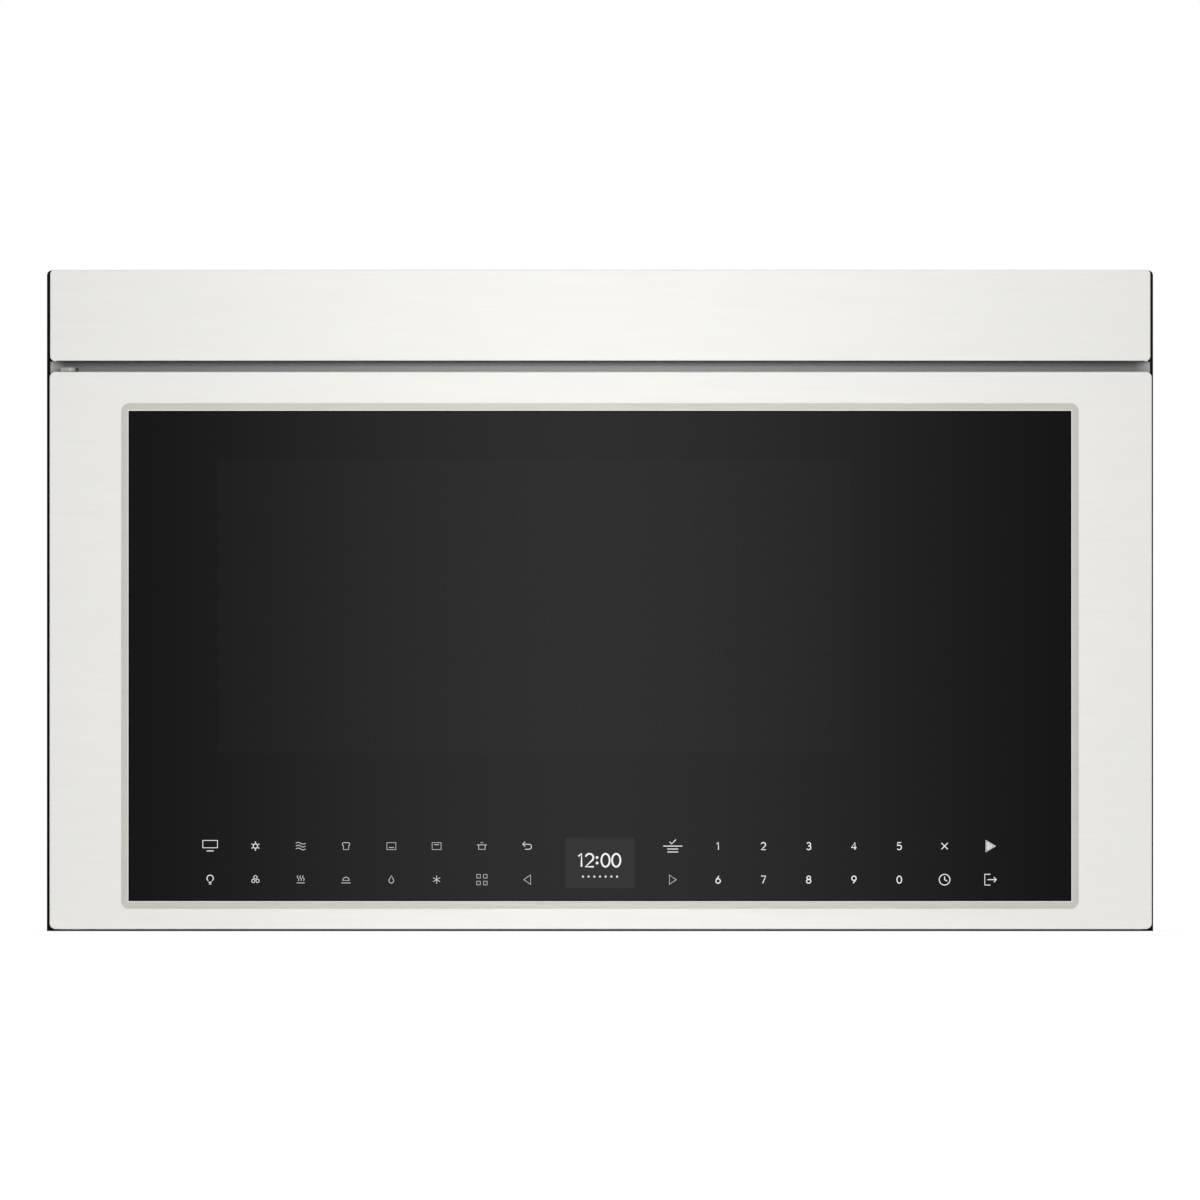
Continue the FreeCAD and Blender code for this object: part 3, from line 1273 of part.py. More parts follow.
def make_door_chassis():
    """Moulded inner frame: back web, seats for the glass, hinge blocks and the latch guide."""
    x = inside(DOOR_X, "skin_wall + 1")
    z = inside(DOOR_Z, "skin_wall + 1")
    deep = (GLASS_BACK, CHOKE_FRONT)
    solids = [
        block(x, (MOULD_BACK, CHOKE_FRONT), z, "web"),
        ring(x, deep, z, "mould_wall", "edge"),
        ring(TRIM_X, deep, TRIM_Z, "glass_seat", "seat"),
        ring(inside(WINDOW_X, "-mould_wall"), deep, inside(WINDOW_Z, "-mould_wall"), "mould_wall", "frame"),
    ]
    for bush in (TOP_BUSH_Z, LOW_BUSH_Z):
        inner = (f"({bush[0]})", f"({bush[1]} - skin_wall)")
        solids.append(rod("Z", inner, HINGE, "hinge_block", "hinge_boss"))
        web_y = (HINGE[1], CHOKE_FRONT)
        solids.append(block(around(HINGE[0], "hinge_block"), web_y, inner, "hinge_web"))
    guide_x = inside(HOOK_X, "-(free_gap + mould_wall)")
    guide_y = (f"{BAR_Y[0]} - free_gap - mould_wall", CHOKE_FRONT)
    room = (f"{BAR_Z[0]} - free_gap", f"{SPRING_TOP} + latch_travel + free_gap")
    solids.append(block(guide_x, guide_y, inside(room, "-mould_wall"), "guide"))
    tools = [
        block(WINDOW_X, inside(deep, "-1"), WINDOW_Z, "window"),
        block(inside(HOOK_X, "-free_gap"), (f"{BAR_Y[0]} - free_gap", MOULD_BACK), room, "guide_room"),
        rod("Z", inside(TOP_BUSH_Z, "-1"), HINGE, BUSH_RADIUS, "top_seat"),
        rod("Z", inside(LOW_BUSH_Z, "-1"), HINGE, BUSH_RADIUS, "low_seat"),
        hinge_notch(),
    ]
    for bottom in hook_bottoms():
        tools.append(block(inside(HOOK_X, "-free_gap"), inside(deep, "-1"), slot_z(bottom), "hook_slot"))
    return sub_part("door_chassis", cut(fuse(*solids, name="moulding"), *tools, name="chassis"))


def make_door_screen():
    """Metal screen sheet over the window, against the chassis."""
    y = (CHOKE_FRONT, f"{CHOKE_FRONT} + screen_wall")
    return sub_part("door_screen", block(PANE_X, y, PANE_Z, "screen"))


def make_inner_pane():
    """Clear pane between the screen and the choke cover."""
    y = (f"{CHOKE_FRONT} + screen_wall", f"{CHOKE_FRONT} + screen_wall + inner_pane")
    return sub_part("inner_pane", block(PANE_X, y, PANE_Z, "pane"))


def make_choke_cover():
    """Moulded cover on the door's back, round the window, with slots for the hooks."""
    deep = (CHOKE_FRONT, DOOR_BACK)
    web_y = (f"{DOOR_BACK} - mould_wall", DOOR_BACK)
    seat_x = inside(WINDOW_X, "-(pane_lap + mould_wall)")
    seat_z = inside(WINDOW_Z, "-(pane_lap + mould_wall)")
    solids = [
        block(CHOKE_X, web_y, CHOKE_Z, "web"),
        ring(CHOKE_X, deep, CHOKE_Z, "mould_wall", "edge"),
        block(seat_x, deep, seat_z, "seat"),
    ]
    pane_y = (f"{CHOKE_FRONT} - 1", f"{CHOKE_FRONT} + screen_wall + inner_pane")
    tools = [
        block(WINDOW_X, inside(deep, "-1"), WINDOW_Z, "window"),
        block(PANE_X, pane_y, PANE_Z, "pane_room"),
    ]
    for bottom in hook_bottoms():
        tools.append(block(inside(HOOK_X, "-2*free_gap"), inside(deep, "-1"), slot_z(bottom), "hook_slot"))
    return sub_part("choke_cover", cut(fuse(*solids, name="cover_body"), *tools, name="cover"))


def make_hinge_bushes():
    """Two nylon sleeves in the door's left corners, round the hinge pins."""
    bore = "hinge_pin + fit_gap"
    sleeves = [tube("Z", span, HINGE, BUSH_RADIUS, bore, "sleeve") for span in (TOP_BUSH_Z, LOW_BUSH_Z)]
    return sub_part("hinge_bushes", group(*sleeves, name="bushes"))


def make_hinge(label, arm_z, pin_z, flange_z, screws):
    """Hinge arm with a rounded nose, its pin, and a flange behind the face plate."""
    back = f"{FRAME_BACK} + flange_thick"
    solids = [
        block(ARM_X, (HINGE[1], back), arm_z, "arm"),
        rod("Z", arm_z, HINGE, "hinge_arm/2", "nose"),
        rod("Z", pin_z, HINGE, "hinge_pin", "pin"),
        block(around(HINGE[0], "hinge_arm"), (FRAME_BACK, back), flange_z, "flange"),
    ]
    hinge = fuse(*solids, name="hinge")
    if screws:
        past = (f"{FRAME_BACK} - 1", f"{back} + 1")
        hinge = cut(hinge, *[rod("Y", past, spot, "screw_radius") for spot in screws], name="drilled_hinge")
    return sub_part(label, hinge)


def make_hinges():
    """Top hinge over the door and bottom hinge in the door's notch."""
    top_pin = (f"{TOP_BUSH_Z[0]} + mould_wall", TOP_ARM_Z[1])
    top_flange = around(f"{TOP_ARM_Z[0]} + hinge_thick/2", "hinge_flange/2")
    make_hinge("hinge_top", TOP_ARM_Z, top_pin, top_flange, [screw_spots()[0]])
    low_pin = (LOW_ARM_Z[0], f"{LOW_BUSH_Z[1]} - mould_wall")
    low_flange = ("base_wall", "base_wall + hinge_flange")
    make_hinge("hinge_bottom", LOW_ARM_Z, low_pin, low_flange, [])


def make_latch_hooks():
    """Upright bar with two hooks that reach through the face plate."""
    solids = [block(HOOK_X, BAR_Y, BAR_Z, "bar")]
    for bottom in hook_bottoms():
        solids.append(block(HOOK_X, (BAR_Y[0], HOOK_BACK), (bottom, f"{bottom} + hook_height"), "hook"))
        tip_y = (f"{HOOK_BACK} - hook_tip", HOOK_BACK)
        solids.append(block(HOOK_X, tip_y, (f"{bottom} - hook_drop", bottom), "tip"))
    return sub_part("latch_hooks", fuse(*solids, name="latch"))


def make_latch_spring():
    """Spring on top of the bar, drawn as the sleeve that its coils fill."""
    centre = (HOOK_MIDDLE, f"({BAR_Y[0]} + {BAR_Y[1]})/2")
    sleeve = tube("Z", (BAR_Z[1], SPRING_TOP), centre, "hook_thick/2", "hook_thick/3")
    return sub_part("latch_spring", sleeve)


def make_latch_board():
    """Moulded board behind the face plate that holds the switches and the solenoid."""
    wall_x = around(HOOK_MIDDLE, "latch_board_width/2")
    wall_y = (FRAME_BACK, f"{FRAME_BACK} + latch_board_wall")
    wall = block(wall_x, wall_y, (f"{SOLENOID_TOP} - solenoid_height", BAR_Z[1]), "wall")
    tools = [block(HOOK_SLOT_X, inside(wall_y, "-1"), slot_z(bottom), "slot") for bottom in hook_bottoms()]
    side_x = (f"{HOOK_MIDDLE} + switch_width/2", f"{HOOK_MIDDLE} + switch_width/2 + latch_board_wall")
    side = block(side_x, (FRAME_BACK, f"{SWITCH_FRONT} + switch_depth"), (SOLENOID_TOP, BAR_Z[1]), "side")
    return sub_part("latch_board", cut(fuse(wall, side), *tools, name="board"))


def switch_height(bottom):
    """Height of a switch's plunger: the middle of its hook."""
    return f"({bottom} + hook_height/2)"


def make_interlock_switches():
    """Two switch bodies on the latch board, each bored for its plunger."""
    switches = []
    for bottom in hook_bottoms():
        y = (SWITCH_FRONT, f"{SWITCH_FRONT} + switch_depth")
        z = around(switch_height(bottom), "switch_height/2")
        body = block(around(HOOK_MIDDLE, "switch_width/2"), y, z, "switch")
        bore_y = (f"{SWITCH_FRONT} - 1", f"{SWITCH_FRONT} + plunger_inside + plunger_travel + free_gap")
        bore = rod("Y", bore_y, (HOOK_MIDDLE, switch_height(bottom)), "plunger_radius + fit_gap")
        switches.append(cut(body, bore, name="switch_body"))
    return sub_part("interlock_switches", group(*switches, name="switches"))


def make_switch_plungers():
    """One sprung plunger in front of each switch."""
    y = (f"{HOOK_BACK} + free_gap", f"{SWITCH_FRONT} + plunger_inside")
    for label, bottom in zip(("switch_plunger_lower", "switch_plunger_upper"), hook_bottoms()):
        sub_part(label, rod("Y", y, (HOOK_MIDDLE, switch_height(bottom)), "plunger_radius", "plunger"))


def make_release_solenoid():
    """Solenoid under the lower hook, bored for its plunger."""
    z = (f"{SOLENOID_TOP} - solenoid_height", SOLENOID_TOP)
    half = "solenoid_side/2"
    body = block(around(HOOK_MIDDLE, half), around(RELEASE_Y, half), z, "coil_body")
    bore_z = (f"{SOLENOID_TOP} - solenoid_height/2 - free_gap", f"{SOLENOID_TOP} + 1")
    bore = rod("Z", bore_z, (HOOK_MIDDLE, RELEASE_Y), "release_radius + fit_gap")
    return sub_part("release_solenoid", cut(body, bore, name="solenoid"))


def make_release_plunger():
    """Plunger that lifts the hooks off their catches."""
    z = (f"{SOLENOID_TOP} - solenoid_height/2", RELEASE_TOP)
    return sub_part("release_plunger", rod("Z", z, (HOOK_MIDDLE, RELEASE_Y), "release_radius", "plunger"))


def make_vent_blower_housing():
    """Blower drum across the top with a duct forward to the air mouth."""
    centre = (BLOWER_Y, BLOWER_Z)
    length = around("0", "blower_length/2")
    drum = rod("X", length, centre, "blower_radius", "drum")
    duct = block(MOUTH_X, (FRAME_BACK, BLOWER_Y), MOUTH_Z, "duct")
    drum_room = rod("X", inside(length, "blower_wall"), centre, "blower_radius - blower_wall")
    duct_room = block(inside(MOUTH_X, "blower_wall"), (f"{FRAME_BACK} - 1", BLOWER_Y),
                      inside(MOUTH_Z, "blower_wall"), "duct_room")
    inlets = rod("X", inside(length, "-1"), centre, "wheel_radius - blade_depth/2", "inlets")
    housing = cut(fuse(drum, duct), drum_room, duct_room, inlets, name="housing")
    return sub_part("vent_blower_housing", housing)


def make_vent_motor():
    """Motor in the middle of the drum, on a foot that follows the drum's wall."""
    centre = (BLOWER_Y, BLOWER_Z)
    x = around("0", "vent_motor_length/2")
    can = rod("X", x, centre, "vent_motor_radius", "can")
    foot_x = inside(x, "vent_motor_length/4")
    foot_y = around(BLOWER_Y, "vent_motor_radius/2")
    foot_z = (f"{BLOWER_Z} - blower_radius", BLOWER_Z)
    room = rod("X", x, centre, "blower_radius - blower_wall", "room")
    foot = common(block(foot_x, foot_y, foot_z, "foot_block"), room, name="foot")
    bore = rod("X", inside(x, "-1"), centre, "vent_shaft + fit_gap")
    return sub_part("vent_motor", cut(fuse(can, foot), bore, name="motor"))


def make_vent_blower_wheels():
    """Two bladed drums on one shaft, one at each end of the motor."""
    piece = Piece("vent_blower_wheels")
    centre = (BLOWER_Y, BLOWER_Z)
    start = "(vent_motor_length/2 + 4*free_gap)"
    reach = f"({start} + wheel_length)"
    shaft = piece.sketch("YZ", f"-{reach}", centre)
    piece.circle(shaft, "0", "0", "vent_shaft")
    piece.pad(shaft, f"{reach} * 2")
    disc = "blade_wall * 2"
    for low, web in ((start, start), (f"-{reach}", f"(-{start} - {disc})")):
        plate = piece.sketch("YZ", web, centre)
        piece.circle(plate, "0", "0", "wheel_radius")
        piece.pad(plate, disc)
        blade = piece.sketch("YZ", low, centre)
        piece.rectangle(blade, ("wheel_radius - blade_depth", "wheel_radius"), around("0", "blade_wall/2"))
        pad = piece.pad(blade, "wheel_length")
        piece.repeat_round(pad, blade, "wheel_blades")
        rim = piece.sketch("YZ", f"{low} + wheel_length - {disc}" if web == start else low, centre)
        piece.circle(rim, "0", "0", "wheel_radius")
        piece.circle(rim, "0", "0", "wheel_radius - blade_depth")
        piece.pad(rim, disc)
    return piece.done()


def make_frame_screws():
    """Screws through the face plate for the top hinge and the blower's duct."""
    screws = []
    for spot in screw_spots():
        head = rod("Y", (f"{FRAME_FRONT} - head_height", FRAME_FRONT), spot, "screw_head", "head")
        shank = rod("Y", (FRAME_FRONT, f"{FRAME_FRONT} + screw_length"), spot, "screw_radius", "shank")
        screws.append(fuse(head, shank, name="screw"))
    return sub_part("frame_screws", group(*screws, name="screws"))


MAKERS = (
    make_outer_case,
    make_base_plate,
    make_back_plate,
    make_front_frame,
    make_wall_mounting_plate,
    make_top_panel,
    make_vent_grille,
    make_charcoal_filter,
    make_grease_filters,
    make_cooktop_lamps,
    make_lamp_lenses,
    make_power_inlet_bushing,
    make_oven_cavity,
    make_broil_element,
    make_convection_element,
    make_convection_cover,
    make_convection_fan,
    make_convection_motor,
    make_turntable_motor,
    make_turntable_coupler,
    make_glass_tray,
    make_turntable_ring,
    make_turntable_rollers,
    make_waveguide,
    make_waveguide_cover,
    make_magnetron,
    make_high_voltage_transformer,
    make_high_voltage_capacitor,
    make_component_shelf,
    make_cooling_fan_housing,
    make_cooling_fan,
    make_cooling_fan_motor,
    make_cavity_lamp,
    make_power_board,
    make_door_skin,
    make_window_trim,
    make_door_glass,
    make_touch_board,
    make_display_module,
    make_door_chassis,
    make_door_screen,
    make_inner_pane,
    make_choke_cover,
    make_hinge_bushes,
    make_hinges,
    make_latch_hooks,
    make_latch_spring,
    make_latch_board,
    make_interlock_switches,
    make_switch_plungers,
    make_release_solenoid,
    make_release_plunger,
    make_vent_blower_housing,
    make_vent_motor,
    make_vent_blower_wheels,
    make_frame_screws,
)

for maker in MAKERS:
    maker()
doc.recompute()

failed = [item.Name for item in doc.Objects if "Invalid" in item.State or "Error" in item.State]
if failed:
    raise RuntimeError(f"failed objects: {failed}")
for solid in SUB_PARTS:
    if solid.Shape.isNull() or not solid.Shape.isValid() or not solid.Shape.Solids:
        raise RuntimeError(f"{solid.Label}: no valid solid")

os.makedirs("parts", exist_ok=True)
for solid in SUB_PARTS:
    solid.Shape.exportStep(f"parts/{solid.Label}.step")
print(f"{len(SUB_PARTS)} sub-parts written")
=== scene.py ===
"""Finishes and fine detail of an over the range microwave oven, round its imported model."""
import logging
import math
from dataclasses import dataclass
from enum import Enum
from typing import Callable, Iterable, Sequence

import bpy
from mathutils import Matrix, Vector


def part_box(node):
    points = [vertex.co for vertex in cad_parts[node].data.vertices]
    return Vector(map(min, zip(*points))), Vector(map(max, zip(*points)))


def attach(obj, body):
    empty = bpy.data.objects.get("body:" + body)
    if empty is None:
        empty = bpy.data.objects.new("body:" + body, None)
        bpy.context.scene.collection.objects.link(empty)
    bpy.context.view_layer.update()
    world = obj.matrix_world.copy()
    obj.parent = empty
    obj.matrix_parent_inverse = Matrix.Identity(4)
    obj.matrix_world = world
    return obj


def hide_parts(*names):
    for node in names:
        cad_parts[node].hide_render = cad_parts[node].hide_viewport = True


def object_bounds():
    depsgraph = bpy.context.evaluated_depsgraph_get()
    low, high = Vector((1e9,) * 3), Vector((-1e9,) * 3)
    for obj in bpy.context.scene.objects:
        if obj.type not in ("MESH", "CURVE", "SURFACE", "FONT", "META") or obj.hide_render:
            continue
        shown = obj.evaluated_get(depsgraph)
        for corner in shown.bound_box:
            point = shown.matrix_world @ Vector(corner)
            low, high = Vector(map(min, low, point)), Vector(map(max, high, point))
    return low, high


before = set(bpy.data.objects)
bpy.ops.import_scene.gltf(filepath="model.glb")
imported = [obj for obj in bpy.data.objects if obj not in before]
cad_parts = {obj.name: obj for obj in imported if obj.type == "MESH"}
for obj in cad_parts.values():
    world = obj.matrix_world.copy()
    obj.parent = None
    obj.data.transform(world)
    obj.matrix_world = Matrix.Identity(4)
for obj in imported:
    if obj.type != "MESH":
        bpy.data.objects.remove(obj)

log = logging.getLogger("microwave")
CAD_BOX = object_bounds()
MM = 0.001
FLUSH = 0.02 * MM
X, Y, Z = range(3)
Piece, Tree, Socket = bpy.types.Object, bpy.types.NodeTree, bpy.types.NodeSocket
EdgeTest = Callable[[Vector, Vector], bool]
BLACK, WHITE = (0.0, 0.0, 0.0, 1.0), (1.0, 1.0, 1.0, 1.0)
# Length of a sheet of glass's slow waves, in millimetres.
WAVE_MM = 60.0


# Colour and node helpers.

def linear(colour: str) -> tuple[float, float, float, float]:
    """Turn an sRGB hex colour into Blender's linear numbers.

    Args:
        colour: six hex digits after a hash sign.

    Returns:
        Linear red, green, blue and an alpha of one.
    """
    parts = [int(colour[place:place + 2], 16) / 255 for place in (1, 3, 5)]
    parts = [part / 12.92 if part <= 0.04045 else ((part + 0.055) / 1.055) ** 2.4 for part in parts]
    return (*parts, 1.0)


def per_mm(size: float) -> float:
    """Texture scale at which one feature of a pattern is this many millimetres wide."""
    return 1 / (size * MM)


def add_node(tree: Tree, kind: str, inputs: dict | None = None, out: str | int | None = 0,
             **settings) -> "Socket | Sequence[Socket]":
    """Add a node with its settings, values and links.

    Args:
        tree: the node tree that gets the node.
        kind: Blender's name of the node type, without the word ShaderNode before it.
        inputs: socket name or number to a value or to an output socket that is linked to it.
        out: name or number of the output that is wanted, or None for all of them.
        settings: properties of the node itself.

    Returns:
        The output, or all outputs.
    """
    node = tree.nodes.new("ShaderNode" + kind)
    for name, setting in settings.items():
        setattr(node, name, setting)
    for name, given in (inputs or {}).items():
        if isinstance(given, Socket):
            tree.links.new(given, node.inputs[name])
        else:
            node.inputs[name].default_value = given
    return node.outputs if out is None else node.outputs[out]


def clean_tree(owner: "bpy.types.Material | bpy.types.World") -> Tree:
    """Give a material or a world an empty node tree.

    Args:
        owner: the material or world.

    Returns:
        The empty tree.
    """
    owner.use_nodes = True
    owner.node_tree.nodes.clear()
    return owner.node_tree


@dataclass(frozen=True)
class Surface:
    """What a piece is made of. Each kind of surface adds its own nodes."""

    name: str

    def material(self) -> bpy.types.Material:
        """Make the surface's material, or return it if it has been made.

        Returns:
            The material.
        """
        made = bpy.data.materials.get(self.name)
        if made is None:
            made = bpy.data.materials.new(self.name)
            tree = clean_tree(made)
            shader = self.shader(tree, add_node(tree, "TexCoord", out="Object"))
            add_node(tree, "OutputMaterial", {"Surface": shader}, out=None)
        return made

    def shader(self, tree: Tree, place: Socket) -> Socket:
        """Add the surface's nodes.

        Args:
            tree: the material's node tree.
            place: the object coordinates.

        Returns:
            The socket of the finished shader.
        """
        raise NotImplementedError


class Grain(Enum):
    """How a surface was worked, which sets the shape of its fine pattern."""

    EVEN = "even"
    ALONG_X = "along_x"
    ALONG_Z = "along_z"
    SPANGLE = "spangle"


@dataclass(frozen=True)
class Finish(Surface):
    """A solid finish: two close colours, a gloss and a fine pattern of a real size in millimetres."""

    colour: str
    second: str
    metallic: float = 0.0
    roughness: float = 0.5
    specular: float = 0.5
    grain: Grain = Grain.EVEN
    grain_mm: float = 1.0
    grain_long_mm: float = 60.0
    bump_mm: float = 0.01
    rough_swing: float = 0.06
    coat: float = 0.0
    anisotropic: float = 0.0

    def shader(self, tree: Tree, place: Socket) -> Socket:
        """Add colour, gloss and relief, which all follow one pattern.

        Args:
            tree: the material's node tree.
            place: the object coordinates.

        Returns:
            The socket of the finished shader.
        """
        pattern = self.pattern(tree, place)
        low, high = max(self.roughness - self.rough_swing, 0.02), min(self.roughness + self.rough_swing, 1.0)
        inputs = {
            "Base Color": add_node(tree, "Mix", {
                "Factor": pattern, 6: linear(self.colour), 7: linear(self.second)}, out=2, data_type="RGBA"),
            "Roughness": add_node(tree, "MapRange", {"Value": pattern, "To Min": low, "To Max": high}),
            "Normal": add_node(tree, "Bump", {"Height": pattern, "Strength": 0.5, "Distance": self.bump_mm * MM}),
            "Metallic": self.metallic, "Specular IOR Level": self.specular, "Coat Weight": self.coat,
            "Coat Roughness": 0.2, "Anisotropic": self.anisotropic,
        }
        if self.anisotropic:
            inputs["Tangent"] = add_node(tree, "Tangent", direction_type="RADIAL", axis="X")
        return add_node(tree, "BsdfPrincipled", inputs)

    def pattern(self, tree: Tree, place: Socket) -> Socket:
        """Add the fine pattern, from 0 to 1.

        Args:
            tree: the material's node tree.
            place: the object coordinates.

        Returns:
            The socket that carries the pattern.
        """
        fine = per_mm(self.grain_mm)
        if self.grain is Grain.SPANGLE:
            cells = add_node(tree, "TexVoronoi", {"Vector": place, "Scale": fine}, out="Color")
            return add_node(tree, "SeparateColor", {0: cells})
        if self.grain is not Grain.EVEN:
            stretch = self.grain_mm / self.grain_long_mm
            scale = (stretch, 1, 1) if self.grain is Grain.ALONG_X else (1, 1, stretch)
            place = add_node(tree, "Mapping", {"Vector": place, "Scale": scale})
        noise = add_node(tree, "TexNoise", {"Vector": place, "Scale": fine, "Detail": 3.0})
        return add_node(tree, "MapRange", {"Value": noise, "From Min": 0.3, "From Max": 0.7})


# Mesh helpers, round Blender's own operators.

def deselect() -> None:
    """Deselect every object."""
    bpy.ops.object.select_all(action="DESELECT")


def choose(piece: Piece) -> None:
    """Select one object alone and make it active.

    Args:
        piece: the object.
    """
    deselect()
    piece.select_set(True)
    bpy.context.view_layer.objects.active = piece


def settle(piece: Piece) -> Piece:
    """Move an object's place, turn and scale into its mesh.

    Args:
        piece: the object.

    Returns:
        The same object.
    """
    choose(piece)
    bpy.ops.object.transform_apply(location=True, rotation=True, scale=True)
    return piece


def modify(piece: Piece, kind: str, **settings) -> Piece:
    """Add a modifier with its settings, and apply it.

    Args:
        piece: the object that gets it.
        kind: Blender's name of the modifier's type.
        settings: its properties.

    Returns:
        The same object.
    """
    modifier = piece.modifiers.new(kind.lower(), kind)
    for name, setting in settings.items():
        setattr(modifier, name, setting)
    choose(piece)
    bpy.ops.object.modifier_apply(modifier=modifier.name)
    return piece


def soften(piece: Piece, width: float) -> Piece:
    """Bevel an object's sharp edges, by a width in metres."""
    return modify(piece, "BEVEL", width=width, segments=2, limit_method="ANGLE", angle_limit=math.radians(40))


def smooth(piece: Piece, angle: float = 35.0) -> Piece:
    """Shade an object smooth up to an angle between faces, in degrees, with its wide faces kept flat.

    Args:
        piece: the object.
        angle: the largest angle that is still smooth.

    Returns:
        The same object.
    """
    choose(piece)
    bpy.ops.object.shade_smooth_by_angle(angle=math.radians(angle))
    return modify(piece, "WEIGHTED_NORMAL", keep_sharp=True)


def thicken(piece: Piece, wall: float, outward: bool) -> Piece:
    """Give a sheet its thickness, in metres, outside or inside the modelled face."""
    return modify(piece, "SOLIDIFY", thickness=wall, offset=1.0 if outward else -1.0)


def carve(piece: Piece, tool: Piece) -> Piece:
    """Cut a closed tool's shape out of a piece, and delete the tool.

    Args:
        piece: the closed piece in work.
        tool: what is cut away.

    Returns:
        The piece in work.
    """
    modify(piece, "BOOLEAN", operation="DIFFERENCE", solver="EXACT", object=tool)
    bpy.data.objects.remove(tool)
    return piece


def join(pieces: Sequence[Piece], name: str) -> Piece:
    """Join objects, at least one, into one of a new name.

    Args:
        pieces: the objects, the first of which takes in the others.
        name: the new name.

    Returns:
        The joined object.
    """
    choose(pieces[0])
    for piece in pieces:
        piece.select_set(True)
    if len(pieces) > 1:
        bpy.ops.object.join()
    joined = bpy.context.object
    joined.name = joined.data.name = name
    return joined


def brick(low: Sequence[float], high: Sequence[float], name: str = "brick") -> Piece:
    """A block between two corners, in metres, ready to be shaped.

    Args:
        low: its lowest corner.
        high: its highest corner.
        name: its name.

    Returns:
        The block.
    """
    deselect()
    bpy.ops.mesh.primitive_cube_add(size=1, location=[(a + b) / 2 for a, b in zip(low, high)])
    piece = bpy.context.object
    piece.scale = [b - a for a, b in zip(low, high)]
    piece.name = name
    return settle(piece)


def disc(centre: Sequence[float], radius: float, depth: float, axis: int = Z, sides: int = 48) -> Piece:
    """A round block along one axis, ready to be shaped.

    Args:
        centre: its middle.
        radius: its radius in metres.
        depth: its length along the axis.
        axis: X, Y or Z.
        sides: faces round it.

    Returns:
        The round block.
    """
    deselect()
    turn = ((0, math.pi / 2, 0), (math.pi / 2, 0, 0), (0, 0, 0))[axis]
    bpy.ops.mesh.primitive_cylinder_add(vertices=sides, radius=radius, depth=depth, location=centre, rotation=turn)
    return settle(bpy.context.object)


def flat_margin(size: float) -> Vector:
    """A step of one size across and up, with none in depth."""
    return Vector((size, 0, size))


def deep(size: float) -> Vector:
    """A step backwards."""
    return Vector((0, size, 0))


def opening(low: Vector, high: Vector, inset: float, reach: float) -> Piece:
    """A cutter that lies inside a box's sides and reaches past its front and back."""
    return brick(low + flat_margin(inset) - deep(reach), high - flat_margin(inset) + deep(reach))


def leave_edit() -> None:
    """Return to object mode."""
    bpy.ops.object.mode_set(mode="OBJECT")


def edit(piece: Piece, kind: str, test: Callable) -> None:
    """Enter edit mode with some faces or edges selected.

    Args:
        piece: the object to edit.
        kind: FACE or EDGE.
        test: says of a face or an edge whether it is selected.
    """
    choose(piece)
    bpy.ops.object.mode_set(mode="EDIT")
    bpy.ops.mesh.select_mode(type=kind)
    bpy.ops.mesh.select_all(action="DESELECT")
    leave_edit()
    for element in piece.data.polygons if kind == "FACE" else piece.data.edges:
        element.select = test(element)
    bpy.ops.object.mode_set(mode="EDIT")


def runs_along(axis: int) -> EdgeTest:
    """A test for edges that run along one axis."""
    others = [number for number in range(3) if number != axis]
    return lambda start, end: all(abs(start[number] - end[number]) < FLUSH for number in others)


def lies_at(axis: int, level: float) -> EdgeTest:
    """A test for edges that lie at one level of an axis."""
    return lambda start, end: abs(start[axis] - level) < FLUSH and abs(end[axis] - level) < FLUSH


def round_edges(piece: Piece, test: EdgeTest, radius: float, segments: int) -> None:
    """Round the edges whose two ends pass a test.

    Args:
        piece: the piece in work.
        test: takes an edge's two ends and says whether it is rounded.
        radius: the radius in metres.
        segments: faces across the rounding.
    """
    edit(piece, "EDGE", lambda edge: test(*(piece.data.vertices[number].co for number in edge.vertices)))
    bpy.ops.mesh.bevel(offset=radius, segments=segments, affect="EDGES", clamp_overlap=True)
    leave_edit()


def open_face(piece: Piece, test: Callable[[bpy.types.MeshPolygon], bool]) -> None:
    """Delete the faces that a test picks, which opens a closed shape.

    Args:
        piece: the closed shape.
        test: says of a face whether it goes.
    """
    edit(piece, "FACE", test)
    bpy.ops.mesh.delete(type="ONLY_FACE")
    leave_edit()


def seal(piece: Piece) -> Piece:
    """Merge a closed shape's doubled points and turn its faces outwards.

    Args:
        piece: the closed shape.

    Returns:
        The same object.
    """
    choose(piece)
    bpy.ops.object.mode_set(mode="EDIT")
    bpy.ops.mesh.select_all(action="SELECT")
    bpy.ops.mesh.remove_doubles(threshold=FLUSH / 20)
    bpy.ops.mesh.normals_make_consistent(inside=False)
    leave_edit()
    return piece


def rounded_block(low: Sequence[float], high: Sequence[float], axis: int, radius: float) -> Piece:
    """A block between two corners, whose four edges along one axis are rounded.

    Args:
        low: its lowest corner.
        high: its highest corner.
        axis: X, Y or Z.
        radius: the edges' radius in metres.

    Returns:
        The block.
    """
    block = brick(low, high)
    round_edges(block, runs_along(axis), radius, 6)
    return block


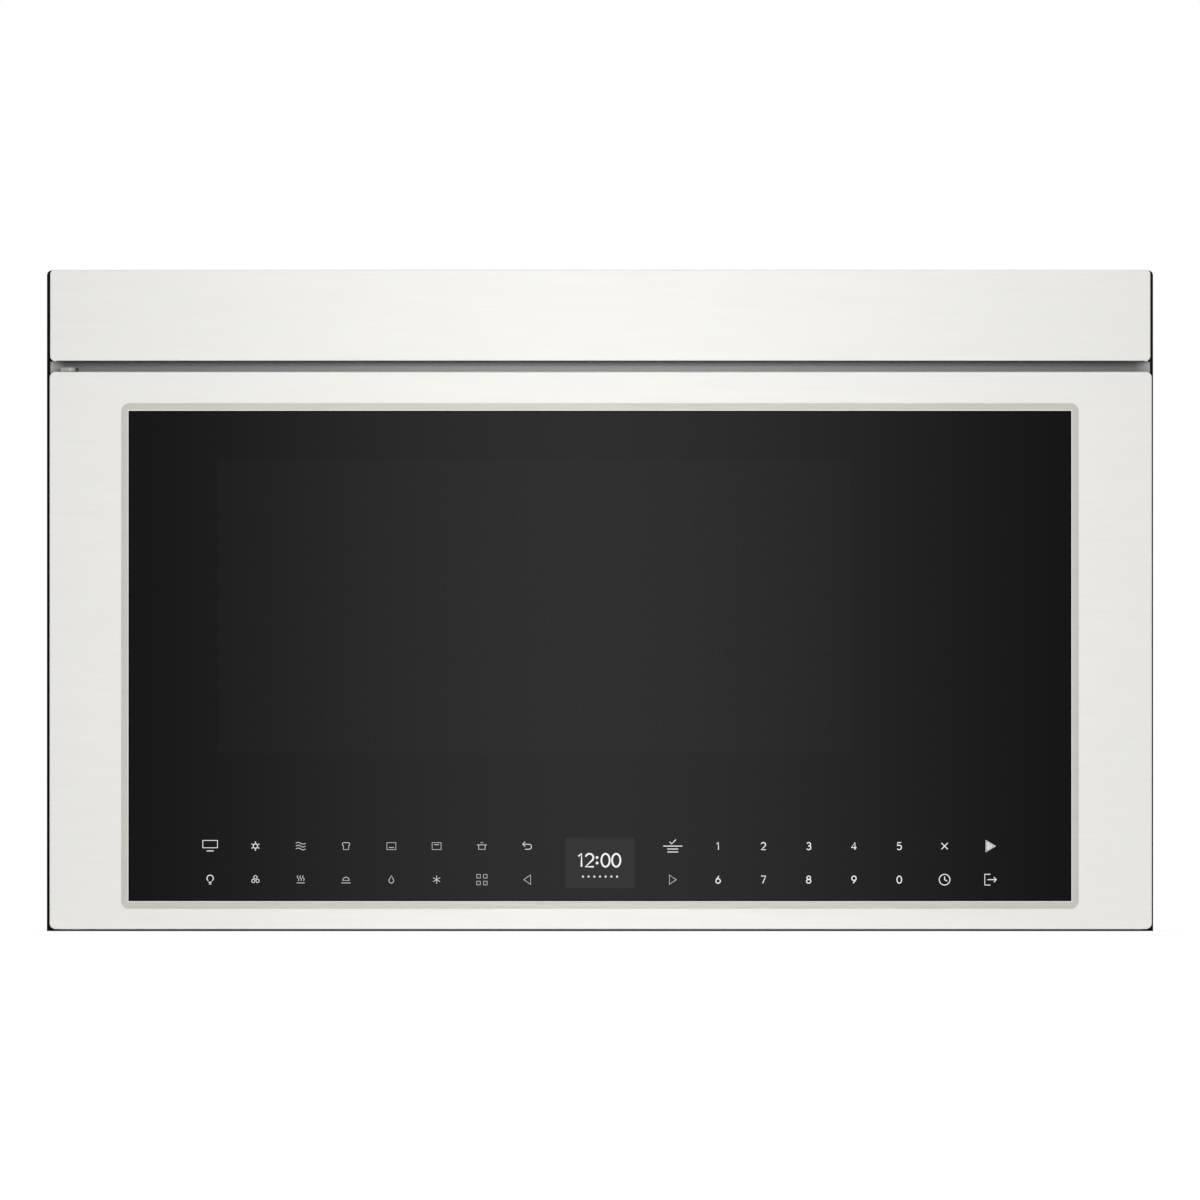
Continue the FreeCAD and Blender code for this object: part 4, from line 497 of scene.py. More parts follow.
def spun(profile: Sequence[tuple[float, float]], centre: Vector, name: str, steps: int = 96) -> Piece:
    """Turn a profile about an upright axis into a closed solid.

    Args:
        profile: distance from the axis and height of each corner in metres, from the axis back to it.
        centre: a point on the axis at height zero of the profile.
        name: the new object's name.
        steps: faces round the axis.

    Returns:
        The solid.
    """
    mesh = bpy.data.meshes.new(name)
    corners = [(centre.x + reach, centre.y, centre.z + rise) for reach, rise in profile]
    mesh.from_pydata(corners, [(number, number + 1) for number in range(len(corners) - 1)], [])
    piece = bpy.data.objects.new(name, mesh)
    bpy.context.scene.collection.objects.link(piece)
    choose(piece)
    bpy.ops.object.mode_set(mode="EDIT")
    bpy.ops.mesh.select_all(action="SELECT")
    bpy.ops.mesh.spin(steps=steps, angle=2 * math.pi, center=centre, axis=(0, 0, 1))
    leave_edit()
    return seal(piece)


def box_of(node: str) -> tuple[Vector, Vector]:
    """A CAD node's lowest and highest corner, in metres."""
    low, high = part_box(node)
    return Vector(low), Vector(high)


def dress(nodes: Iterable[str], finish: Surface) -> None:
    """Give CAD nodes a finish.

    Args:
        nodes: the nodes' names.
        finish: what they are made of.
    """
    for name in nodes:
        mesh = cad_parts[name].data
        mesh.materials.clear()
        mesh.materials.append(finish.material())
        log.info("finish %s on node %s", finish.name, name)


def present(piece: Piece, body: str, finish: Surface) -> None:
    """Finish a new piece, put it on a body and report it.

    Args:
        piece: the new object, with its place in its mesh.
        body: the CAD body that it rides on.
        finish: what it is made of.
    """
    piece.data.materials.clear()
    piece.data.materials.append(finish.material())
    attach(piece, body)
    log.info("piece %s on body %s", piece.name, body)


# Finishes. Each is named for what the real surface is made of, and for painted light where its colour carries some.

# Stainless steel brushed from side to side under a clear coat: pale, warm, with highlights drawn out upright.
BRUSHED_STEEL = Finish(
    "brushed_stainless_steel", "#ecebe7", "#e9e8e4", metallic=1.0, roughness=0.46, grain=Grain.ALONG_X,
    grain_mm=0.35, grain_long_mm=40.0, bump_mm=0.001, rough_swing=0.02, anisotropic=0.9)
# Polished and anodised aluminium extrusion: a darker, warmer silver with a satin sheen.
BRIGHT_TRIM = Finish(
    "anodised_aluminium", "#c5c3bc", "#c2c0b9", metallic=1.0, roughness=0.42, grain=Grain.ALONG_X,
    grain_mm=0.4, grain_long_mm=30.0, bump_mm=0.001, rough_swing=0.03, anisotropic=0.9)
# The same aluminium on the frame's sloped inner edge, and smoother. The slope catches light, and its colour is also
# painted brighter as a painted highlight.
EDGE_PAINTED_HIGHLIGHT = Finish(
    "aluminium_edge_painted_highlight", "#f0eee9", "#edebe6", metallic=1.0, roughness=0.4, grain=Grain.ALONG_X,
    grain_mm=0.5, grain_long_mm=20.0, bump_mm=0.001, rough_swing=0.02)
# Black silicone bead between the glass and its frame: matt, with no mirror image.
SILICONE = Finish("black_silicone", "#020202", "#030303", roughness=0.8, specular=0.02, grain_mm=0.8)
# Grey steel behind the air slot, with a satin face that mirrors the room in front.
SLOT_STEEL = Finish(
    "satin_grey_steel", "#737373", "#777777", metallic=1.0, roughness=0.22, grain_mm=1.4, bump_mm=0.002,
    rough_swing=0.02)
# Black powder coat on sheet steel: a low, even orange peel and a dull sheen.
CASE_PAINT = Finish(
    "black_powder_coat", "#080808", "#0c0c0c", specular=0.08, grain_mm=0.8, bump_mm=0.03, rough_swing=0.08)
# Grey baked paint on the face plate.
FACE_PAINT = Finish(
    "grey_baked_paint", "#cfcfcc", "#d6d6d3", metallic=0.8, roughness=0.4, grain_mm=0.9, rough_swing=0.05)
# Grey vitreous enamel fired on steel: glossy, speckled with pale and dark grains.
CAVITY_ENAMEL = Finish(
    "grey_vitreous_enamel", "#5d5f61", "#85878a", roughness=0.25, grain=Grain.SPANGLE, grain_mm=1.2,
    bump_mm=0.006, rough_swing=0.04, coat=0.4)
# Hot-dip galvanised sheet: crystals of slightly different greys.
ZINC_SHEET = Finish(
    "galvanised_steel", "#a6a9ab", "#b3b6b8", metallic=0.9, roughness=0.42, grain=Grain.SPANGLE, grain_mm=5.0,
    bump_mm=0.003, rough_swing=0.08)
# The back plate's galvanised sheet: a little rougher than the wall plate over it, and painted darker as painted shade
# from that plate.
ZINC_PAINTED_SHADE = Finish(
    "galvanised_steel_painted_shade", "#7f8284", "#8b8e90", metallic=0.9, roughness=0.48, grain=Grain.SPANGLE, grain_mm=5.0,
    bump_mm=0.003, rough_swing=0.08)
# Phosphated steel of the door hinges: darker, with a dull sheen.
HINGE_STEEL = Finish(
    "phosphated_steel", "#9a9a97", "#a6a6a3", metallic=1.0, roughness=0.4, grain_mm=0.8, bump_mm=0.006)
# Cold-drawn bare steel of screws, spring, plunger and fan wheel.
BARE_STEEL = Finish(
    "bare_steel", "#a9a8a4", "#b9b8b4", metallic=1.0, roughness=0.32, grain=Grain.ALONG_Z, grain_mm=0.3,
    grain_long_mm=12.0, bump_mm=0.004)
# Grey enamel on motor cans.
MOTOR_PAINT = Finish(
    "motor_enamel", "#6d7073", "#777a7d", metallic=0.3, roughness=0.42, grain_mm=1.5, bump_mm=0.02)
# Stacked steel sheets of a transformer core, edges showing as fine lines.
CORE_IRON = Finish(
    "laminated_iron", "#3b3734", "#5a534d", metallic=0.7, grain=Grain.ALONG_X, grain_long_mm=90.0, bump_mm=0.06,
    rough_swing=0.1)
# Nickel alloy heater sheath, oxidised to a dark greenish grey.
HEATER_SHEATH = Finish(
    "oxidised_nickel_alloy", "#4a4945", "#5b5850", metallic=0.8, roughness=0.55, grain_mm=1.2, bump_mm=0.02,
    rough_swing=0.1)
# Plated steel and aluminium fins of the magnetron.
MAGNETRON_METAL = Finish("plated_steel", "#b3b1a8", "#c4c2b9", metallic=1.0, roughness=0.35, grain_mm=2.0)
# Drawn aluminium capacitor can.
CAN_ALUMINIUM = Finish(
    "drawn_aluminium", "#c3c5c7", "#cfd1d2", metallic=1.0, roughness=0.3, grain=Grain.ALONG_Z, grain_mm=0.5,
    grain_long_mm=40.0, bump_mm=0.004)
# Rolled aluminium of the grease filters' frames and pull tabs.
MESH_ALUMINIUM = Finish(
    "rolled_aluminium", "#b4b7b9", "#c6c9cb", metallic=1.0, roughness=0.38, grain=Grain.ALONG_X, grain_mm=0.6,
    grain_long_mm=25.0, rough_swing=0.08)
# Bright aluminium wire of the filters' outer net.
NET_WIRE = Finish(
    "aluminium_wire", "#c9ccce", "#d2d4d6", metallic=1.0, roughness=0.3, grain_mm=1.5, bump_mm=0.003)
# Moulded black ABS with a fine spark-eroded texture.
BLACK_PLASTIC = Finish("black_moulded_abs", "#1b1b1c", "#222223", roughness=0.55, grain_mm=0.6, bump_mm=0.03)
# Moulded grey PBT of switches, sockets and the cooling fan.
GREY_PLASTIC = Finish("grey_moulded_pbt", "#8b8d8e", "#949697", grain_mm=0.8, bump_mm=0.02)
# Natural nylon: milky, with a soft sheen.
WHITE_NYLON = Finish("natural_nylon", "#e3dfd3", "#dcd8cc", roughness=0.38, grain_mm=1.6)
# Activated charcoal grains in a net: black, rough and lumpy.
CHARCOAL = Finish(
    "charcoal_granules", "#0f0f0f", "#2b2b2a", roughness=0.85, grain=Grain.SPANGLE, grain_mm=2.2, bump_mm=0.9,
    rough_swing=0.1)
# Green solder mask over glass-fibre board.
CIRCUIT_BOARD = Finish(
    "solder_masked_board", "#1d4a2c", "#265a37", roughness=0.35, grain_mm=1.2, bump_mm=0.02, coat=0.3)
# Mica sheet: pale grey-brown flakes pressed flat.
MICA = Finish(
    "pressed_mica", "#b5a78e", "#cabda5", roughness=0.45, grain=Grain.SPANGLE, grain_mm=3.5, bump_mm=0.02,
    rough_swing=0.1)


@dataclass(frozen=True)
class PlainGlass(Surface):
    """Clear or frosted glass with a faint waviness, which light passes through."""

    tint: str
    roughness: float
    ior: float

    def shader(self, tree: Tree, place: Socket) -> Socket:
        """Add a transmissive surface.

        Args:
            tree: the material's node tree.
            place: the object coordinates.

        Returns:
            The socket of the finished shader.
        """
        wave = add_node(tree, "TexNoise", {"Vector": place, "Scale": per_mm(WAVE_MM), "Detail": 1.0})
        return add_node(tree, "BsdfPrincipled", {
            "Base Color": linear(self.tint), "Transmission Weight": 1.0, "IOR": self.ior,
            "Roughness": add_node(tree, "MapRange", {
                "Value": wave, "To Min": self.roughness, "To Max": self.roughness + 0.02}),
            "Normal": add_node(tree, "Bump", {"Height": wave, "Strength": 0.05, "Distance": 0.02 * MM}),
        })


# Clear float glass behind the window's screen.
CLEAR_GLASS = PlainGlass("clear_float_glass", "#e9efec", 0.0, 1.5)
# Pressed borosilicate of the turntable tray: clear with a green edge.
TRAY_GLASS = PlainGlass("pressed_borosilicate", "#dfe9e3", 0.03, 1.47)
# Frosted lens over the cooktop lamps.
LENS_GLASS = PlainGlass("frosted_lens_glass", "#eeeeea", 0.25, 1.5)


def punched(tree: Tree, axes: "Sequence[Socket]", hole_mm: float, pitch_mm: float) -> Socket:
    """Add a pattern of round holes in staggered rows, seen from the front.

    Args:
        tree: the material's node tree.
        axes: the outputs that carry x, y and z.
        hole_mm: a hole's diameter.
        pitch_mm: distance between holes in a row.

    Returns:
        A socket that is one on the metal and zero in a hole.
    """
    nearest = []
    for shift in (0.0, 0.5):
        legs = {}
        for axis, pitch in ((X, pitch_mm * MM), (Z, pitch_mm * MM * math.sqrt(3))):
            moved = add_node(tree, "Math", {0: axes[axis], 1: shift * pitch}, operation="ADD")
            legs[len(legs)] = add_node(tree, "Math", {0: moved, 1: pitch / 2, 2: -pitch / 2}, operation="WRAP")
        reach = add_node(tree, "CombineXYZ", legs)
        nearest.append(add_node(tree, "VectorMath", {0: reach}, out="Value", operation="LENGTH"))
    least = add_node(tree, "Math", dict(enumerate(nearest)), operation="MINIMUM")
    return add_node(tree, "Math", {0: least, 1: hole_mm * MM / 2}, operation="GREATER_THAN")


@dataclass(frozen=True)
class PrintedGlass(Surface):
    """Dark float glass with a black print behind it, a screened window and a dim display under it.

    Its coating against glare leaves under a hundredth of the light in the mirror image.
    """

    print_colour: str
    screen_colour: str
    specular: float
    glow: float
    hole_mm: float
    pitch_mm: float
    rim_mm: float
    fade_mm: float = 0.3

    def shader(self, tree: Tree, place: Socket) -> Socket:
        """Add the dark gloss, the window's fine dots and the display's faint light.

        Args:
            tree: the material's node tree.
            place: the object coordinates.

        Returns:
            The socket of the finished shader.
        """
        axes = add_node(tree, "SeparateXYZ", {0: place}, out=None)
        metal = punched(tree, axes, self.hole_mm, self.pitch_mm)
        window = self.zone(tree, axes, "door_screen", self.rim_mm)
        shown = add_node(tree, "Math", {0: metal, 1: window}, operation="MULTIPLY")
        display = self.zone(tree, axes, "display_module", 0.0)
        wave = add_node(tree, "TexNoise", {"Vector": place, "Scale": per_mm(WAVE_MM), "Detail": 1.0})
        return add_node(tree, "BsdfPrincipled", {
            "Base Color": add_node(tree, "Mix", {
                "Factor": shown, 6: linear(self.print_colour), 7: linear(self.screen_colour)},
                out=2, data_type="RGBA"),
            "Roughness": add_node(tree, "MapRange", {"Value": wave, "To Min": 0.02, "To Max": 0.05}),
            "Specular IOR Level": self.specular,
            "Emission Color": add_node(tree, "Mix", {
                "Factor": display, 6: BLACK, 7: (self.glow, self.glow, self.glow, 1.0)}, out=2, data_type="RGBA"),
            "Emission Strength": 1.0,
        })

    def zone(self, tree: Tree, axes: "Sequence[Socket]", node: str, rim_mm: float) -> Socket:
        """Mark a part's outline as seen from the front.

        Args:
            tree: the material's node tree.
            axes: the outputs that carry x, y and z.
            node: the CAD part behind the glass.
            rim_mm: how far inside the part's edges the zone ends.

        Returns:
            A socket that is one inside the zone and zero outside it.
        """
        low, high = box_of(node)
        inside = []
        for axis in (X, Z):
            middle, edge = (low[axis] + high[axis]) / 2, (high[axis] - low[axis]) / 2 - rim_mm * MM
            offset = add_node(tree, "Math", {0: axes[axis], 1: middle}, operation="SUBTRACT")
            away = add_node(tree, "Math", {0: offset}, operation="ABSOLUTE")
            inside.append(add_node(tree, "MapRange", {
                "Value": away, "From Min": edge, "From Max": edge - self.fade_mm * MM}))
        return add_node(tree, "Math", dict(enumerate(inside)), operation="MINIMUM")


# The door's glass, with the screen's dots and the display's dim face showing through it.
DOOR_GLASS = PrintedGlass("black_printed_float_glass", "#020202", "#101010", 0.092, 0.0107, 1.3, 2.1, 6.0)


@dataclass(frozen=True)
class Perforated(Surface):
    """Black-enamelled steel sheet punched with a close pattern of round holes."""

    colour: str
    hole_mm: float
    pitch_mm: float

    def shader(self, tree: Tree, place: Socket) -> Socket:
        """Add the sheet with see-through holes in staggered rows.

        Args:
            tree: the material's node tree.
            place: the object coordinates.

        Returns:
            The socket of the finished shader.
        """
        axes = add_node(tree, "SeparateXYZ", {0: place}, out=None)
        metal = punched(tree, axes, self.hole_mm, self.pitch_mm)
        return add_node(tree, "BsdfPrincipled", {"Base Color": linear(self.colour), "Roughness": 0.5, "Alpha": metal})


# Enamelled window screen, its holes drawn at their real pitch.
SCREEN_SHEET = Perforated("perforated_enamelled_steel", "#2c2c2d", 1.3, 2.1)


@dataclass(frozen=True)
class Glow(Surface):
    """A lit legend or display segment: its own light under a plain face."""

    colour: str
    strength: float

    def shader(self, tree: Tree, place: Socket) -> Socket:
        """Add an emitting surface with a fine dot pattern.

        Args:
            tree: the material's node tree.
            place: the object coordinates.

        Returns:
            The socket of the finished shader.
        """
        dots = add_node(tree, "TexNoise", {"Vector": place, "Scale": per_mm(0.3)})
        share = add_node(tree, "MapRange", {"Value": dots, "To Min": 0.97, "To Max": 1.0})
        return add_node(tree, "BsdfPrincipled", {
            "Base Color": linear("#0c0c0d"), "Roughness": 0.4, "Emission Strength": self.strength,
            "Emission Color": add_node(tree, "Mix", {
                "Factor": share, 6: BLACK, 7: linear(self.colour)}, out=2, data_type="RGBA"),
        })


# Lit segments of the display.
DISPLAY_LIT = Glow("lit_display_segments", "#fbfbfb", 0.95)
# White key legends, lit from behind the glass.
WHITE_LEGEND = Glow("backlit_white_legend", "#fafaf8", 0.92)
# Legends of the lesser keys, lit less.
GREY_LEGEND = Glow("backlit_grey_legend", "#f4f4f2", 0.66)


# Faces across each large rounded corner of the front.
CORNER_STEPS = 10


def folded_sheet(node: str, name: str, wall: float, corner: float, bend: float) -> Piece:
    """Fold a sheet front: a shallow pan, open at the back, with rounded corners and front edges.

    Args:
        node: the pressed CAD part that it matches.
        name: the new piece's name.
        wall: the sheet's thickness in metres.
        corner: the radius of its four corners.
        bend: the radius of its front edges.

    Returns:
        The pan.
    """
    low, high = box_of(node)
    pan = brick(low, high, name)
    round_edges(pan, runs_along(Y), corner, CORNER_STEPS)
    round_edges(pan, lies_at(Y, low.y), bend, 5)
    open_face(pan, lambda face: face.center.y > high.y - FLUSH)
    return thicken(pan, wall, outward=False)


@dataclass
class TopPanel:
    """Steel front above the air slot, with the plate and the grille behind the slot. Sizes are in metres."""

    corner: float = 3.0 * MM
    bend: float = 0.8 * MM
    wall: float = 0.8 * MM
    slot_plate: float = 0.4 * MM
    slot_lean: float = 0.23 * MM
    slot_reach: tuple = (0.7 * MM, 0.5 * MM)
    slot_foot: float = 0.3 * MM
    slot_edge: float = 0.05 * MM
    end_width: float = 9.5 * MM
    end_turn: float = 0.32 * MM
    end_cuts: int = 11

    def build(self) -> None:
        """Make the panel and what shows in the slot under it."""
        self.make_panel()
        self.make_slot_plate()
        dress(["vent_grille"], BLACK_PLASTIC)

    def make_panel(self) -> None:
        """Fold the panel, open it for the grille and dress it."""
        panel = folded_sheet("top_panel", "top_panel_sheet", self.wall, self.corner, self.bend)
        low, high = box_of("vent_grille")
        margin = self.wall * 2
        carve(panel, brick((low.x, low.y, low.z - margin), (high.x, high.y + margin, high.z)))
        smooth(panel)
        present(panel, "cabinet", BRUSHED_STEEL)
        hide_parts("top_panel")

    def make_slot_plate(self) -> None:
        """Face the slot's back with a plate that leans a little; its two ends curve in to the middle."""
        low, high = box_of("top_panel")
        left, right = low.x - self.slot_reach[0], high.x + self.slot_reach[1]
        bottom, top = box_of("door_skin")[1].z - self.slot_foot, low.z - FLUSH
        back = box_of("outer_case")[0].y
        front = back - self.slot_plate - self.slot_lean
        plate = brick((left, front, bottom), (right, back, top), "air_slot_plate")
        for spot in plate.data.vertices:
            if spot.co.z > top - FLUSH and spot.co.y < front + FLUSH:
                spot.co.y += self.slot_lean
        soften(plate, self.slot_edge)
        ends = [self.make_end(left, 1, front, bottom, top), self.make_end(right, -1, front, bottom, top)]
        plate = smooth(join([plate, *ends], "air_slot_plate"))
        present(plate, "cabinet", SLOT_STEEL)

    def make_end(self, edge: float, inward: int, front: float, bottom: float, top: float) -> Piece:
        """Curve one end of the slot plate forward, from flush with the plate to its outer edge.

        Args:
            edge: the end's outer x.
            inward: +1 where the middle lies to the right, -1 where it lies to the left.
            front: the front of the slot plate at its foot.
            bottom: the end's lower z.
            top: the end's upper z.

        Returns:
            The curved end.
        """
        inner = edge + inward * self.end_width
        end = brick((min(edge, inner), front - FLUSH, bottom),
                    (max(edge, inner), front + self.slot_lean + self.slot_plate / 2, top))
        edit(end, "FACE", lambda side: side.normal.y < -0.9)
        bpy.ops.mesh.subdivide(number_cuts=self.end_cuts)
        leave_edit()
        for spot in end.data.vertices:
            if spot.co.y < front:
                out = abs(spot.co.x - inner) / self.end_width
                lean = self.slot_lean * (spot.co.z - bottom) / (top - bottom)
                spot.co.y += lean * (1 - out) - self.end_turn * out ** 2
        return end


@dataclass
class DoorFront:
    """Steel door skin, its bright frame, the printed glass and the key pad on it. Sizes are in metres."""

    wall: float = 0.8 * MM
    corner: float = 4.0 * MM
    bend: float = 0.8 * MM
    nose: float = 11.7 * MM
    lap: float = 2.0 * MM
    lip_corner: float = 5.2 * MM
    lip_edge: float = 0.2 * MM
    cut: float = 0.7 * MM
    bead: float = 0.7 * MM
    bead_rise: float = 0.12 * MM
    bead_edge: float = 0.05 * MM
    notch: float = 0.6 * MM
    past: float = 2.0 * MM
    skin_past: float = 5.0 * MM
    pin_past: float = 4.0 * MM

    def build(self) -> None:
        """Make and dress every piece of the front."""
        self.make_skin()
        self.make_trim()
        self.make_cut_edge()
        self.make_bead()
        dress(["door_glass"], DOOR_GLASS)
        dress(["touch_board"], CIRCUIT_BOARD)

    def make_skin(self) -> None:
        """Fold the skin and open it for the glass, the hinge pin and the lower hinge arm."""
        skin = folded_sheet("door_skin", "door_front_sheet", self.wall, self.corner, self.bend)
        low, high = box_of("door_skin")
        carve(skin, opening(*box_of("window_trim"), self.lap, self.skin_past))
        bush_low, bush_high = box_of("hinge_bushes")
        middle = (bush_low + bush_high) / 2
        radius = (bush_high.x - bush_low.x) / 2 + FLUSH
        carve(skin, disc((middle.x, middle.y, high.z), radius, self.pin_past))
        arm_right = middle.x + self.nose / 2
        carve(skin, brick((low.x - MM, low.y + self.bend, low.z - MM),
                          (arm_right + self.notch, high.y + MM, bush_low.z)))
        smooth(skin)
        present(skin, "door", BRUSHED_STEEL)
        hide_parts("door_skin")

    def make_trim(self) -> None:
        """Shape the bright frame: a rounded lip over the skin and a collar down to the glass."""
        low, high = box_of("window_trim")
        skin_front = box_of("door_skin")[0].y
        lip = brick(low, (high.x, skin_front, high.z), "bright_window_frame")
        round_edges(lip, runs_along(Y), self.lip_corner, CORNER_STEPS)
        collar = brick(low + flat_margin(self.lap) + deep(skin_front - low.y), high - flat_margin(self.lap))
        trim = join([lip, collar], "bright_window_frame")
        carve(trim, opening(*box_of("door_glass"), -self.cut, self.past))
        soften(trim, self.lip_edge)
        smooth(trim)
        present(trim, "door", BRIGHT_TRIM)
        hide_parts("window_trim")

    def make_cut_edge(self) -> None:
        """Cut the slope from the frame's front down to the glass; its brighter finish is a painted highlight."""
        low, high = box_of("door_glass")
        front = box_of("window_trim")[0].y
        margin = flat_margin(self.cut)
        ring = brick(Vector((low.x, front + FLUSH, low.z)) - margin, high + margin, "cut_frame_edge")
        edit(ring, "FACE", lambda face: face.normal.y < -0.9)
        bpy.ops.mesh.inset(thickness=self.cut)
        bpy.ops.transform.translate(value=(0, low.y - front, 0))
        leave_edit()
        carve(ring, opening(low, high, 0.0, self.past))
        # The slope is real; its brighter aluminium is a painted highlight.
        present(ring, "door", EDGE_PAINTED_HIGHLIGHT)

    def make_bead(self) -> None:
        """Lay the black bead along the glass's edge."""
        low, high = box_of("door_glass")
        bead = brick((low.x, low.y - self.bead_rise, low.z), (high.x, low.y + FLUSH, high.z), "glass_edge_bead")
        carve(bead, opening(low, high, self.bead, self.past))
        soften(bead, self.bead_edge)
        present(bead, "door", SILICONE)


class Mark(Enum):
    """Pictograms of the touch keys, each for what its key does."""

    SCREEN = "screen"
    GEAR = "gear"
    WIND = "wind"
    BREAD = "bread"
    LOWER_HEAT = "lower_heat"
    UPPER_HEAT = "upper_heat"
    POT = "pot"
    RETURN = "return"
    LIST = "list"
    CROSS = "cross"
    START = "start"
    LAMP = "lamp"
    FAN = "fan"
    STEAM = "steam"
    SOFTEN = "soften"
    DROP = "drop"
    FLAKE = "flake"
    SQUARES = "squares"
    LEFT = "left"
    RIGHT = "right"
    CLOCK = "clock"
    DOOR = "door"


Stroke = list[tuple[float, float]]


def arc(x: float, z: float, radius: float, start: float = 0.0, end: float = 360.0, steps: int = 16,
        squeeze: float = 1.0) -> Stroke:
    """Points of an arc on the key grid.

    Args:
        x: its middle across.
        z: its middle up.
        radius: its radius.
        start: its first angle in degrees.
        end: its last angle in degrees.
        steps: how many chords.
        squeeze: how wide it is for its height.

    Returns:
        The points in order.
    """
    turns = [math.radians(start + (end - start) * step / steps) for step in range(steps + 1)]
    points = [(x + squeeze * radius * math.cos(turn), z + radius * math.sin(turn)) for turn in turns]
    return points[:-1] + [points[0]] if end - start == 360.0 else points


def box_stroke(left: float, low: float, right: float, high: float) -> Stroke:
    """A closed rectangle on the key grid."""
    return [(left, low), (right, low), (right, high), (left, high), (left, low)]


def bar(reach: float, level: float) -> Stroke:
    """A level line across the middle of the key grid."""
    return [(-reach, level), (reach, level)]


def wave(x: float, low: float, high: float, swing: float, upright: bool = True, steps: int = 12) -> Stroke:
    """One full wave between two heights, or between two places across if it isn't upright.

    Args:
        x: the line that it swings about.
        low: where it starts.
        high: where it ends.
        swing: how far it goes to each side.
        upright: whether it runs up or across.
        steps: how many chords.

    Returns:
        The points in order.
    """
    along = [low + (high - low) * step / steps for step in range(steps + 1)]
    sway = [x + swing * math.sin(2 * math.pi * step / steps) for step in range(steps + 1)]
    return list(zip(sway, along)) if upright else list(zip(along, sway))


def star(radius: float, arms: int, inner: float) -> list[Stroke]:
    """Straight strokes out from about the middle."""
    turns = [2 * math.pi * arm / arms + math.pi / 2 for arm in range(arms)]
    return [[(math.cos(turn) * reach, math.sin(turn) * reach) for reach in (inner, radius)] for turn in turns]


def petal(turn: float) -> Stroke:
    """One closed blade of the fan mark, at an angle in degrees.

    Args:
        turn: the angle.

    Returns:
        The points in order.
    """
    lean = math.radians(turn)
    steps = [(quarter / 4, 1) for quarter in range(5)] + [(quarter / 4, -1) for quarter in (3, 2, 1, 0)]
    leaf = [(0.15 + 0.8 * share, 0.42 * math.sin(math.pi * share) * side) for share, side in steps]
    return [(x * math.cos(lean) - z * math.sin(lean), x * math.sin(lean) + z * math.cos(lean)) for x, z in leaf]


# Strokes of each mark on a grid from -1 to 1.
MARKS: dict[Mark, list[Stroke]] = {
    Mark.SCREEN: [box_stroke(-1.3, -0.3, 1.3, 1.0), bar(0.6, -0.85)],
    Mark.GEAR: [arc(0, 0, 0.5)] + star(1.0, 6, 0.72),
    Mark.WIND: [wave(level, -1.2, 1.2, 0.22, False) for level in (-0.7, 0.0, 0.7)],
    Mark.BREAD: [[(0.65, 0.1), (0.65, -0.85), (-0.65, -0.85), (-0.65, 0.1)] + arc(-0.5, 0.45, 0.4, 220, 90, 6)
                 + arc(0.5, 0.45, 0.4, 90, -40, 6) + [(0.65, 0.1)]],
    Mark.LOWER_HEAT: [box_stroke(-1.1, -0.85, 1.1, 0.85), bar(0.6, -0.35)],
    Mark.UPPER_HEAT: [box_stroke(-1.1, -0.85, 1.1, 0.85), bar(0.6, 0.35)],
    Mark.POT: [[(-0.8, 0.3), (-0.8, -0.8), (0.8, -0.8), (0.8, 0.3)], bar(1.2, 0.3), bar(0.3, 0.85)],
    Mark.RETURN: [[(-0.45, 0.95), (-1.0, 0.4), (-0.45, -0.15)],
                  [(-1.0, 0.4)] + arc(0.4, -0.15, 0.55, 90, -90, 8) + [(-0.5, -0.7)]],
    Mark.LIST: [bar(2.1, 0.0), [(-0.7, 0.95), (-0.25, 0.5), (0.7, 1.45)], bar(1.2, -0.65), bar(1.2, -1.3)],
    Mark.CROSS: [[(-0.7, -0.7), (0.7, 0.7)], [(-0.7, 0.7), (0.7, -0.7)]],
    Mark.START: [[(-0.7, -1.0), (1.0, 0.0), (-0.7, 1.0), (-0.7, -1.0)],
                 *[[(-0.6, row / 5), (0.75 - 1.6 * abs(row / 5), row / 5)] for row in range(-3, 4)]],
    Mark.LAMP: [arc(0, 0.3, 0.7, -50, 230), bar(0.35, -0.55), bar(0.25, -0.95)],
    Mark.FAN: [petal(turn) for turn in (90, 210, 330)],
    Mark.STEAM: [wave(place, -0.3, 1.0, 0.2) for place in (-0.65, 0.0, 0.65)] + [bar(1.0, -0.8)],
    Mark.SOFTEN: [arc(0, -0.2, 0.8, 0, 180, 10) + [(0.8, -0.2)], bar(1.15, -0.8)],
    Mark.DROP: [[(0.0, 1.0)] + arc(0, -0.25, 0.6, 40, -220, 14) + [(0.0, 1.0)]],
    Mark.FLAKE: star(1.0, 3, -1.0),
    Mark.SQUARES: [box_stroke(x - 0.32, z - 0.32, x + 0.32, z + 0.32) for x in (-0.6, 0.6) for z in (-0.6, 0.6)],
    Mark.LEFT: [[(0.75, -1.05), (-0.75, 0.0), (0.75, 1.05), (0.75, -1.05)]],
    Mark.RIGHT: [[(-0.75, -1.05), (0.75, 0.0), (-0.75, 1.05), (-0.75, -1.05)]],
    Mark.CLOCK: [arc(0, 0, 0.95, steps=20), [(0, 0.55), (0, 0), (0.45, -0.25)]],
    Mark.DOOR: [[(0.1, 0.95), (-0.9, 0.95), (-0.9, -0.95), (0.1, -0.95)], [(-0.4, 0.0), (1.15, 0.0)],
                [(0.7, 0.45), (1.15, 0.0), (0.7, -0.45)]],
}

